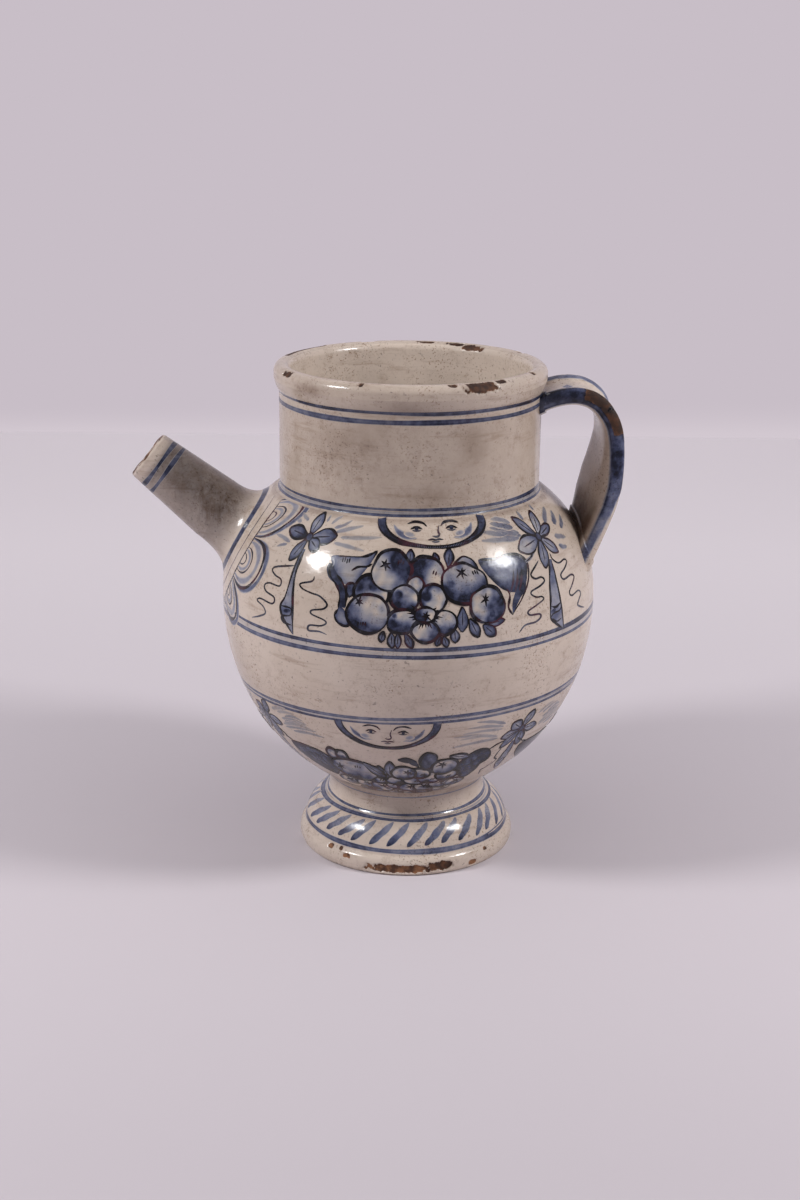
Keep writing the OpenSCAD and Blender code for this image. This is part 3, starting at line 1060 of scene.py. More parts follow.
    def upper_swag(self, patch: Patch) -> None:
        """Paints one whole swag of the upper frieze.

        Args:
            patch: Its middle.
        """
        self.knot(patch.sub(-54.9, 149.1 - patch.z), LEFT_KNOT)
        self.knot(patch.sub(54.4, 147.5 - patch.z), RIGHT_KNOT)
        self.mask(patch.sub(3, 157.7 - patch.z), 21.2, 9)
        self.brush.fresh()
        self.sash_left(patch)
        self.sash_right(patch)
        up = lambda x, z: patch.sub(*self.sheet(patch, (x, z))[0])
        for x, z, length, width, turn in (
                (-8.2, 140.4, 4.6, 3.2, 84), (3.4, 139.4, 4.6, 2.6, 105), (7.4, 138.8, 6.4, 3.8, 76),
                (11.6, 123, 9.4, 4.6, -92), (14.2, 118, 8.2, 4, -64), (20, 115, 8.8, 3.2, 6),
                (19.4, 115, 7.2, 4.4, -42), (8.4, 114.2, 5.4, 3.6, -86), (3.2, 111.6, 4.4, 2.6, -112),
                (4.4, 111.4, 4.6, 2.8, -72), (-17.6, 113.4, 4.2, 2.6, -100), (-14.6, 113, 6, 3.4, -86),
                (-12.2, 113, 6.2, 2.6, -90), (-9.6, 112.8, 6.4, 3, -64)):
            self.leaf(up(x, z), length, width, turn, 0.88)
        for x, z, *look in (
                (-22.6, 129.2, 7, 6.2, -70, 0.97, None, None, ((0.6, 2.4, 2.8), (3.6, -2.4, 1.4))),
                (-23.6, 120.4, 8.5, 7.5, 45, 0.92, (-3.6, 4.2), (-3.4, -4, 4, 80)),
                (-1.4, 136.6, 6.7, 5.9, -25, 0.95, None, (2.6, 0.2, 2, 65), ((-2.4, 2, 2.2),)),
                (-15.3, 137.4, 7.7, 7.2, 200, 0.92, (-2.6, 2.2), (2.6, 3.2, 3, 70)),
                (14.4, 137, 5, 4.7, 150, 0.75),
                (13.2, 132, 9.2, 7.1, 95, 0.97, (-0.8, 4.2), (4, 3.9, 3, 110), ((-5.4, 0.2, 1.9),)),
                (21.6, 122.9, 7.4, 6.9, 165, 0.88, (-0.8, 2.4), None, ((1.6, -3.4, 1.8),))):
            self.fruit(up(x, z), *look)
        self.centre_flower(up(-2.3, 120.6))

    def sash_left(self, patch: Patch) -> None:
        """Paints the gathered cloth on the left of the garland, with its looped end.

        Args:
            patch: Middle of the swag.
        """
        on = lambda *points: self.sheet(patch, *points)
        gathered = on((-41.5, 140.8), (-36, 141.8), (-30, 141.8), (-22.5, 144.2), (-23.6, 140.6),
                      (-27, 135.6), (-30, 131.4), (-34, 131.6), (-38, 135.6))
        self.fill(patch, gathered, lambda share, offset: 0.3 + 0.5 * share ** 3 + 0.03 * offset[..., 1])
        self.line(patch, on((-38.5, 141.4), (-29, 141.9), (-25.5, 142.6), (-22, 144.3),
                            (-23.4, 141.6)), 0.8)
        self.line(patch, on((-23.2, 139.8), (-25.6, 138.6), (-29, 138.2), (-31.6, 136.6)), 0.8)
        self.hatch(patch, *on((-36, 140.2))[0], 4, 88, 1.8)
        band = on((-41.6, 138.4), (-39.4, 134.6), (-35.2, 131), (-33.4, 126.8), (-33.6, 122))
        self.stroke(patch, band, (3.6, 3, 2.8, 2.6), (0.95, 0.85, 0.92, 0.85), ends=(0.1, 0))
        fold = on((-41.6, 137.2), (-39.8, 133.6), (-36.6, 130.4), (-34.8, 126.4), (-34.9, 121.6))
        self.line(patch, fold, 0.8)
        self.line(patch, on((-37.4, 134.6), (-34.2, 131.6), (-32.2, 127), (-32.2, 122.2)), 0.9)
        loop = on((-34.6, 122), (-36, 118.6), (-34.6, 115.8), (-31.4, 114.6), (-29.6, 116.4),
                  (-31.6, 118.8), (-32.6, 121.4))
        self.fill(patch, loop, lambda share, offset: 0.45 + 0.45 * share ** 2)
        hem = on((-34.8, 121.4), (-36.1, 118.4), (-34.6, 115.6), (-31.2, 114.5), (-29.4, 116.8))
        self.line(patch, hem, 0.9)
        self.filled(patch, on((-32.6, 131), (-29.6, 131.8), (-29, 128.6), (-31.4, 126.6)), 0.9)

    def sash_right(self, patch: Patch) -> None:
        """Paints the gathered cloth on the right of the garland, with its pointed end and its cord.

        Args:
            patch: Middle of the swag.
        """
        on = lambda *points: self.sheet(patch, *points)
        gathered = on((20.5, 140.4), (29, 140.6), (38, 140.4), (42.6, 137), (40.6, 131), (36.6, 126.6),
                      (30, 127.6), (24.6, 132.6))
        self.fill(patch, gathered, lambda share, offset: 0.6 + 0.4 * share ** 2 - 0.016 * offset[..., 1])
        edge = on((20.5, 140.6), (27, 140), (34, 141), (40, 140.2), (43, 136.6), (41.4, 130.4),
                  (37.4, 124.4), (33, 119.2), (31.8, 117.4))
        self.line(patch, edge, 0.95)
        band = on((40.4, 134.6), (37.4, 128.6), (33.6, 122.8), (31.9, 118.2))
        self.stroke(patch, band, (3.4, 4.2, 3, 0.6), (0.97, 0.92, 0.85, 0.9), ends=(0.15, 0.1))
        self.line(patch, on((31.8, 117.4), (30.2, 121), (31.4, 125.6), (30.4, 128.4)), 0.8)
        for x in (35.4, 37.4, 39.4):
            self.stroke(patch, on((x, 135.6), (x - 1.4, 131), (x - 3.6, 126.4)), (0.5, 1.1, 0.5), 0.8, 0.75)
        cord = [(x, z - patch.z) for x, z in ((41.2, 140.6), (45.1, 141.9), (48.9, 144.7))]
        self.stroke(patch, cord, (1, 1.3, 1), 0.4, 0.2, ends=(0, 0))
        self.line(patch, cord, 0.6)

    def lower_swag(self, patch: Patch, half: float) -> None:
        """Paints one whole swag of the lower frieze, without its left flower.

        Args:
            patch: Its middle, at height zero.
            half: Distance to its right flower.
        """
        k = half / 50.4
        up = lambda x, z: patch.sub(x * k, z)
        on = lambda *points: [(x * k, z) for x, z in points]
        self.brush.fresh()
        self.knot(Patch(patch.az + half / patch.r, 69.1, patch.r), LOW_KNOT)
        self.mask(up(-0.9, 78.6), 21.8, 12.7)
        self.line(patch, on((38.4, 61.5), (41, 63.4), (44, 64.6)), 0.6)
        self.line(patch, on((-44.6, 59.1), (-47.4, 61.7), (-50, 64)), 0.6)
        self.brush.fresh()
        bed = on((-32, 47), (-28, 55), (-14, 55), (0, 52), (14, 54), (28, 53), (33, 48), (28, 41), (14, 36.6),
                 (0, 35.8), (-14, 36.6), (-25, 41))
        shadow = lambda share, offset: 0.38 + 0.32 * np.prod(np.sin(offset * (0.8, 0.9)), axis=-1)
        self.fill(patch, bed, shadow, step=0.7, rings=16)
        for x, z, rx, ry, light, deep in (
                (-17.5, 35.8, 4.4, 2.8, 80, 0.95), (-9, 34.8, 4.4, 2.8, 60, 0.92),
                (0, 35.4, 4.6, 2.8, 90, 0.95), (9, 34.9, 4.4, 2.8, 120, 0.92),
                (17.5, 36.6, 4.6, 3, 100, 0.95), (25.5, 38.4, 4.4, 3, 60, 0.9),
                (-24.8, 42, 5, 3.6, 60, 0.92), (-15, 41.4, 5.6, 4.2, 100, 0.95),
                (-7, 40.2, 4.8, 4, 30, 0.97), (0.5, 42.4, 4.6, 3.9, 140, 0.9),
                (7.6, 40.6, 4.8, 4.2, 80, 0.97), (14.8, 41.4, 4.8, 4, 150, 0.95),
                (22.5, 43.8, 5.2, 3.8, 80, 0.92), (30, 43.2, 4.2, 3.4, 60, 0.95)):
            wide, high = rx * self.hand.uniform(0.8, 1), ry * self.hand.uniform(0.8, 1.05)
            lit = light + self.hand.uniform(-50, 50)
            self.fruit(up(x, z), wide, high, lit, 0.7 * deep, star=(0.4, 0.6), spots=((1.8, -1.4, 1.2),))
        leaves = (
            (on((-46, 57.4), (-44.6, 59.1), (-36.9, 59.5), (-30.2, 58.5), (-25, 54.8), (-25.5, 50),
                (-28, 46.2), (-31.1, 44.9), (-38.7, 48.5), (-44.6, 53.2)),
             ((-43.0 * k, 56.6, -29.0 * k, 52), (-40.0 * k, 53.4, -31.0 * k, 48.4))),
            (on((38.4, 61.5), (34.1, 62.6), (30.1, 60.4), (27.6, 56.5), (27.3, 51.4), (30.5, 47.5),
                (34.6, 45.9), (36.9, 50), (37.2, 53.5), (40.2, 56.6)),
             ((37.0 * k, 59.6, 30.0 * k, 51.6), (38.0 * k, 56.4, 33.6 * k, 48.6))))
        for edge, ribs in leaves:
            self.filled(patch, edge, 0.97, ribs)
        for x, z, rx, ry, light, deep in (
                (-7, 46.6, 4.6, 3.2, 60, 0.7), (1, 46.2, 4.4, 3, 90, 0.8),
                (9.4, 46.6, 5, 3.2, 120, 0.6), (16.6, 48, 5.4, 3.6, 80, 0.65),
                (23.6, 49.4, 4.8, 3.4, 100, 0.8), (11.6, 51.4, 4, 3.2, 60, 0.75)):
            self.fruit(up(x, z), rx, ry, light, deep, dashes=(0.6, -0.8, 2, 60))
        for turn, length in ((146, 8), (124, 9.6), (104, 9), (84, 7.6)):
            self.leaf(up(-3.2, 46.8), length, 2.6, turn, 0.97)
        self.leaf(up(22.3, 61), 8.6, 3, -8, 0.55)
        self.fruit(up(-23.9, 59.5), 2.6, 2.8, 80, 0.6)
        self.fruit(up(-19.9, 59.3), 2.4, 2.7, 80, 0.9)
        self.fruit(up(-17, 51), 9.6, 6.5, 60, 0.8, star=(-6, 1), dashes=(1.2, 2.6, 3, 70))
        self.leaf(up(-11.5, 56.6), 12, 4.6, -45, 0.97)
        self.leaf(up(-1.4, 49.4), 9, 3.9, 86, 0.8)
        self.fruit(up(4.6, 51.6), 5, 4.1, 130, 0.85, star=(1.6, 0.8))
        self.stroke(patch, on((2.4, 59.9), (6.9, 59.4), (10.8, 55.7)), (1.6, 3, 2.4, 1.2), 0.97, 0.55)
        bud = on((11.5, 56), (10.9, 59.6), (12, 62.6), (13.5, 63.9), (15.8, 63), (17.3, 61.1),
                 (16.8, 57.5), (14.9, 54.5), (12.8, 54.2))
        self.filled(patch, bud, 0.9)
        self.fruit(up(21.3, 55.1), 5.4, 4.5, 110, 0.9, star=(-1.2, 1.6))


@dataclass(frozen=True)
class GlazeFinish:
    """Tin glaze over buff clay, dipped, painted in cobalt on the raw glaze and fired to a gloss."""

    name: str = "tin_glaze_painted"
    milk: str = "#cebfb3"
    warm: str = "#bfaea0"
    stain: str = "#8d7462"
    speck: str = "#6d635f"
    manganese: str = "#100b10"
    rust: str = "#45202a"
    clay: str = "#4f3427"
    clay_light: str = "#8e6244"
    # Multiplied in by the soil mark, for dirt and for painted shade.
    dirt: str = "#8a7768"
    roughness: float = 0.17
    ior: float = 1.46
    cloud_mm: float = 34.0
    stain_mm: float = 11.0
    streak_mm: float = 26.0
    speck_mm: float = 1.5
    pit_mm: float = 0.9
    brush_mm: float = 4.2
    ripple_mm: float = 9.0
    grain_mm: float = 1.1
    ripple_m: float = 0.0006
    blues: tuple[tuple[float, tuple[float, float, float]], ...] = (
        (0.0, (1, 1, 1)), (0.25, (0.63, 0.72, 0.88)), (0.45, (0.385, 0.47, 0.71)),
        (0.65, (0.185, 0.25, 0.48)),
        (0.85, (0.068, 0.095, 0.225)), (1.0, (0.019, 0.026, 0.066)))

    def make(self) -> Any:
        """Builds the node material: milky mottled glaze, soaked-in blue, slow ripples and dull bare clay.

        Returns:
            The material.
        """
        material = bpy.data.materials.new(self.name)
        nodes = Nodes.of(material)
        band, blend, calc = nodes.band, nodes.blend, nodes.calc
        place = nodes.put("ShaderNodeTexCoord")["Object"]
        drawn = lambda scale: nodes.put("ShaderNodeMapping", None, {"Vector": place, "Scale": scale})[0]
        noise = lambda size_mm, detail, rough=0.55, at=place: nodes.noise(size_mm, at, detail, rough)
        mark = lambda kind: nodes.put("ShaderNodeAttribute", {"attribute_name": kind.value})["Fac"]

        # Milky glaze that pools and thins: slow warm clouds, fine stains, and streaks drawn out level.
        clouds = band(noise(self.cloud_mm, 3), 0.35, 0.7, 0.1, 0.6)
        colour = blend(clouds, linear(self.milk), linear(self.warm))
        stains = noise(self.stain_mm * 0.5, 8, 0.78)
        colour = blend(band(stains, 0.5, 0.72, 0, 0.48), colour, linear(self.stain))
        streaks = noise(self.streak_mm, 7, 0.68, drawn((1, 1, 9)))
        colour = blend(band(streaks, 0.52, 0.74, 0, 0.5), colour, linear(self.stain))

        # Grey specks and brown pits, thick in some places and rare in others.
        many = band(noise(self.stain_mm * 1.7, 3), 0.38, 0.62, 0.05, 0.62)
        specks = calc("MULTIPLY", band(noise(self.speck_mm, 2), 0.64, 0.71), many)
        colour = blend(specks, colour, linear(self.speck))
        many = band(noise(self.stain_mm * 2.2, 4), 0.42, 0.64, 0.06, 0.8)
        pits = calc("MULTIPLY", band(noise(self.pit_mm, 3), 0.57, 0.66), many)
        colour = blend(pits, colour, linear(self.stain))

        # Cobalt that soaked into the raw glaze: watery where it is thin, nearly black where it pooled.
        water = noise(self.brush_mm, 4, 0.6)
        blue = calc("MULTIPLY", mark(Mark.COBALT), band(water, 0.3, 0.7, 0.82, 1.14), clamp=True)
        tint = nodes.put("ShaderNodeValToRGB", None, {"Fac": blue})["Color"]
        stops = tint.node.color_ramp.elements
        for where, _ in self.blues[1:-1]:
            stops.new(where)
        for stop, (where, rgb) in zip(stops, self.blues):
            stop.position, stop.color = where, (*rgb, 1)
        colour = blend(1.0, colour, tint, "MULTIPLY")

        # Manganese contours, near black with a rusty cast in places.
        dark = calc("MULTIPLY", mark(Mark.LINE), band(water, 0.28, 0.6, 0.82, 1.08), clamp=True)
        ink = blend(band(noise(self.stain_mm, 2), 0.5, 0.68), linear(self.manganese), linear(self.rust))
        colour = blend(dark, colour, ink)

        # Bare clay in two browns, with a crumbled edge.
        crumbs = band(noise(self.grain_mm * 1.6, 4), 0.2, 0.8, -0.25, 0.25)
        worn = band(calc("ADD", mark(Mark.BARE), crumbs), 0.45, 0.6)
        browns = band(noise(self.grain_mm * 3, 4), 0.4, 0.65)
        colour = blend(worn, colour, blend(browns, linear(self.clay), linear(self.clay_light)))

        # Dirt and painted shade from the soil mark, multiplied in, blotchy and in places wiped downwards so
        # that it hangs in upright smears.
        smears = band(noise(self.stain_mm, 6, 0.7, drawn((6, 6, 1))), 0.3, 0.7, -0.3, 0.3)
        wiped = calc("MULTIPLY", smears, band(noise(self.cloud_mm * 0.7, 2), 0.5, 0.66))
        blotchy_soil_and_shade = calc("ADD", band(noise(self.stain_mm * 0.6, 7, 0.7), 0.3, 0.7, 0.8, 1.14), wiped)
        soil = calc("MULTIPLY", mark(Mark.SOIL), blotchy_soil_and_shade, clamp=True)
        colour = blend(soil, colour, linear(self.dirt), "MULTIPLY")

        # Gloss that is lost on bare clay, over slow ripples and a fine grain.
        gloss = band(noise(self.stain_mm, 3), 0.3, 0.7, self.roughness - 0.05, self.roughness + 0.07)
        gloss = calc("ADD", gloss, calc("MULTIPLY", worn, 0.6), clamp=True)
        slow = calc("MULTIPLY", noise(self.ripple_mm, 2), 0.8)
        height = calc("ADD", slow, calc("MULTIPLY", noise(self.grain_mm, 3), 0.11))
        relief = {"Strength": 0.35, "Distance": self.ripple_m, "Height": height}
        bump = nodes.put("ShaderNodeBump", None, relief)[0]
        feeds = {"Base Color": colour, "Roughness": gloss, "IOR": self.ior, "Normal": bump}
        shader = nodes.put("ShaderNodeBsdfPrincipled", None, feeds)[0]
        nodes.put("ShaderNodeOutputMaterial", None, {"Surface": shader})
        return material


def lathe(clay: Clay, profile: Array, count: int, closed: bool, marks: Callable[[Array, Array, Array], Marks],
          shift: Optional[Callable[[Array, Array, Array], Array]] = None, sway: float = 1.0) -> None:
    """Turns a half section about the jar's axis.

    Args:
        clay: Where the vertices go.
        profile: Radius and height of the section's points, up the outer side first.
        count: Number of columns.
        closed: True if the section is a loop, False if it starts and ends on the axis.
        marks: Gives the marks from angle, radius and height.
        shift: Gives a change of radius and height.
        sway: Share of the hand-thrown unevenness.
    """
    body = profile if closed else profile[1:-1]
    az = ring_angles(count)
    a, r, z = np.broadcast_arrays(az[None], body[:, :1], body[:, 1:])
    moved = np.zeros(r.shape + (2,)) if shift is None else shift(a, r, z)
    wide = r + sway * uneven(a, z) * np.clip(r / 20, 0, 1) + moved[..., 0]
    index = clay.add(turned(wide, a, z + moved[..., 1]), marks(a, r, z))
    clay.quads(index, around=True, along=closed)
    if not closed:
        clay.cap(index, profile[:, 1:] * (0.0, 0.0, 1.0))


def arc(x: float, y: float, r: float, first: float, last: float, count: int) -> Array:
    """Points of a circle's arc from one angle to another, in degrees."""
    t = np.radians(np.linspace(first, last, count))
    return np.stack([x + r * np.cos(t), y + r * np.sin(t)], axis=1)


def ragged(az: Array, z: Array) -> Array:
    """Small fixed unevenness for the edges of chips, about 0 on average.

    Args:
        az, z: Angle and height.

    Returns:
        The unevenness.
    """
    a = np.degrees(az)
    coarse = 0.6 * np.sin(a * 0.83 + 0.9 * np.sin(z * 1.3)) + 0.4 * np.sin(a * 1.73 + z * 1.5)
    return coarse + 0.2 * np.sin(a * 3.9 - z * 2.3)


@dataclass(frozen=True)
class Chip:
    """A place where the glaze broke off, with half its width in degrees and half its height."""

    az: float
    wide: float
    z: float
    tall: float
    deep: float = 0.7
    inner: bool = False

    def share(self, az: Array, r: Array, z: Array, split: float) -> Array:
        """How bare a place is.

        Args:
            az, r, z: Angle, radius and height.
            split: Radius that parts the outer side from the inner side.

        Returns:
            0 for glaze to 1 for bare clay.
        """
        da = (np.degrees(az) - self.az + 180) % 360 - 180
        oblong = np.cbrt(np.abs(da / self.wide) ** 3 + np.abs((z - self.z) / self.tall) ** 3)
        side = (r < split) if self.inner else (r >= split)
        return (1 - rise(0.66, 1.14, oblong + 0.2 * ragged(az, z))) * side


def bared(chips: Sequence[Chip], split: float, a: Array, r: Array, z: Array) -> Array:
    """How bare a place is under a row of chips, from 0 to 1."""
    return np.max([chip.share(a, r, z, split) for chip in chips], axis=0)


def broken(chips: Sequence[Chip], split: float, a: Array, r: Array, z: Array) -> Array:
    """How deep a place is broken in under a row of chips, in millimetres."""
    depth = np.max([chip.deep * chip.share(a, r, z, split) for chip in chips], axis=0)
    return depth * (0.9 + 0.12 * ragged(a, z))


@dataclass
class Glazed:
    """Work that is covered with the jar's one glaze."""

    glaze: Any = None


@dataclass
class BellyPiece(Glazed):
    """The thrown round body with its wall, its ledge for the neck and its hole for the spout."""

    wall: float = 5.5
    mouth_r: float = 49.4
    mouth_z: float = 155.5
    lip_r: float = 53.0
    ledge_r: float = 56.4
    columns: int = 300
    hole: Path = ((-16.5, 9.0), (3.3, 6.8))

    def section(self) -> Array:
        """Half section from the outer pole round to the inner pole.

        Returns:
            Radius and height of its points.
        """
        w = BELLY
        outer = arc(0, 0, 1, -90, 0, 60) * (w.radius_belt, w.depth) + (0, w.belt_low)
        top = math.degrees(math.asin((w.seat - w.belt_top) / w.arc))
        shoulder = arc(w.radius_belt - w.arc, w.belt_top, w.arc, 0, top, 40)
        shoulder[-1] = (self.ledge_r, w.seat)
        inner_arc = w.arc - self.wall
        cut = math.degrees(math.acos((self.mouth_r - w.radius_belt + w.arc) / inner_arc))
        inside = arc(w.radius_belt - w.arc, w.belt_top, inner_arc, cut, 0, 24)
        wide, tall = w.radius_belt - self.wall, w.depth - self.wall
        floor = arc(0, 0, 1, 0, -90, 36) * (wide, tall) + (0, w.belt_low)
        lip = [[self.lip_r, w.seat], [self.mouth_r, w.seat], [self.mouth_r, self.mouth_z]]
        return np.vstack([outer, shoulder, lip, inside, floor])

    def marks(self, a: Array, r: Array, z: Array) -> Marks:
        """Painted brown shade under the body and on the shoulder, darker in the shoulder's corner and inside,
        and dirt with painted shade in the handle's crook.

        Args:
            a, r, z: Angle, radius and height.

        Returns:
            The marks there.
        """
        # Painted shade darkens the underside and the shoulder; in the crook under the strap, dirt and painted
        # shade.
        low = 0.25 * (1 - rise(31.5, 35.5, z))
        ledge = 0.35 * rise(155.6, 157.2, z) * (r > self.lip_r)
        crook = 0.6 * hump(np.degrees(a), 84, 8) * hump(z, 145, 8)
        outer = r > BELLY.radius(z) - 2.5
        return {Mark.SOIL: np.clip(low + ledge + np.where(outer, shoulder_shade(z) + crook, 0.12), 0, 1)}

    def build(self) -> None:
        """Makes the body and cuts the hole behind the spout."""
        clay = Clay("round_body")
        lathe(clay, self.section(), self.columns, False, self.marks)
        body = clay.make(self.glaze)
        drill = Clay("drill")
        angle = ring_angles(48)[None]
        run, radius = np.array(self.hole).T[..., None]
        index = drill.add(SPOUT.place(angle, run, radius))
        drill.quads(index, around=True)
        drill.cap(index, SPOUT.place(np.zeros(2), run[:, 0], np.zeros(2)))
        tool = drill.make(self.glaze)
        cut = body.modifiers.new("pour_hole", "BOOLEAN")
        cut.operation, cut.object, cut.solver = "DIFFERENCE", tool, "EXACT"
        apply_modifiers(body)
        bpy.data.objects.remove(tool)
        settle(body, "belly")


@dataclass
class NeckPiece(Glazed):
    """The wide upright neck with its rolled and chipped rim."""

    radius: float = 54.4
    mouth_r: float = 49.4
    seat_r: float = 52.0
    seat: float = BELLY.seat
    top: float = 209.969
    rim_r: float = 3.6
    rim_h: float = 10.0
    columns: int = 720
    chips: tuple[Chip, ...] = (
        Chip(29.2, 7.6, 208.6, 2.6, 0.9), Chip(17.2, 2.2, 209.9, 0.8), Chip(40, 2.6, 209.7, 0.7),
        Chip(-20.7, 0.9, 209.6, 0.8), Chip(-63, 3.4, 208.8, 1.2), Chip(148, 6.5, 208.6, 1.2, 0.5, True),
        Chip(157, 5.5, 209.8, 0.9, 0.6, True), Chip(172, 5, 209.9, 0.6, 0.4, True),
        Chip(-112, 11, 209.8, 0.5, 0.3), Chip(-128, 8, 209.8, 0.5, 0.3),
        Chip(80, 1.6, 207.6, 2.2, 0.6, True), Chip(118, 3.2, 209.6, 0.7), Chip(-160, 4.0, 209.5, 0.9),
        Chip(64, 1.6, 209.8, 0.5))

    @property
    def split(self) -> float:
        """Radius that parts the rim's outer side from its inner side."""
        return self.mouth_r + self.rim_r * 0.75

    def section(self) -> Array:
        """Half section as a loop, up the outer side, round the rim and down the inner side.

        Returns:
            Radius and height of its points.
        """
        mid, low, fine = self.mouth_r + self.rim_r, self.top - self.rim_h, self.top - 9
        wide, start, end = mid + self.rim_r, low + self.rim_r + 0.6, self.top - self.rim_r
        outer = fill_steps([(self.radius, self.seat), (self.radius, low - 3.0)], 1.6)
        hollow = [(self.radius, low - 3.0), (self.radius + 0.15, low - 1.2), (self.radius + 1.1, low + 0.7),
                  (wide, start)]
        side = fill_steps([(wide, start), (wide, end)], 0.45)
        roll = arc(mid, end, self.rim_r, 0, 180, 30)
        inner = fill_steps([(self.mouth_r, end), (self.mouth_r, fine)], 0.6)
        down = fill_steps([(self.mouth_r, fine), (self.mouth_r, self.seat), (self.seat_r, self.seat)], 3.0)
        runs = (smooth_path(hollow, False, 0.4), side, roll, inner, down)
        return np.vstack([outer, *(run[1:] for run in runs)])

    def dent(self, a: Array, r: Array, z: Array) -> Array:
        """Moves the broken places inwards.

        Args:
            a, r, z: Angle, radius and height.

        Returns:
            Change of radius and height.
        """
        depth = broken(self.chips, self.split, a, r, z)
        out_r, out_z = r - (self.mouth_r + self.rim_r), np.maximum(z - (self.top - self.rim_r), 0)
        size = np.maximum(np.hypot(out_r, out_z), 0.5)
        return -np.stack([depth * out_r / size, depth * out_z / size], axis=-1)

    def marks(self, a: Array, r: Array, z: Array) -> Marks:
        """Bare chips, brown stains on the neck with painted shade on its front and lower down, darker at its
        foot, and stains by the strap.

        Args:
            a, r, z: Angle, radius and height.

        Returns:
            The marks there.
        """
        turn = np.degrees(a)
        # Part stain, part painted shade: the neck darker on its front and lower down.
        side = 0.5 + 0.5 * np.cos(a + 0.5)
        stain = 0.2 + 0.14 * side * rise(205, 190, z)
        signed = (turn + 180) % 360 - 180
        for at, wide, high, tall in ((-28, 14, 184, 8), (27, 6, 186, 9), (8, 12, 166, 4), (-3, 7, 201, 2.5)):
            stain = stain + 0.22 * np.exp(-((signed - at) / wide) ** 2 - ((z - high) / tall) ** 2)
        smear = 0.5 * hump(turn, 315, 9) * hump(z, 205, 3)
        foot = 0.5 * (1 - rise(157.5, 160, z))
        near_strap = 0.7 * hump(turn, 90, 17) * hump(z, 190, 9)
        outside = (stain + smear + foot + near_strap) * (r > self.mouth_r + 1)
        bare = bared(self.chips, self.split, a, r, z)
        return {Mark.BARE: bare, Mark.SOIL: np.clip(outside + 0.7 * bare, 0, 1)}

    def build(self) -> None:
        """Makes the neck with its rim."""
        clay = Clay("neck_with_rim")
        lathe(clay, self.section(), self.columns, True, self.marks, self.dent)
        settle(clay.make(self.glaze), "neck")


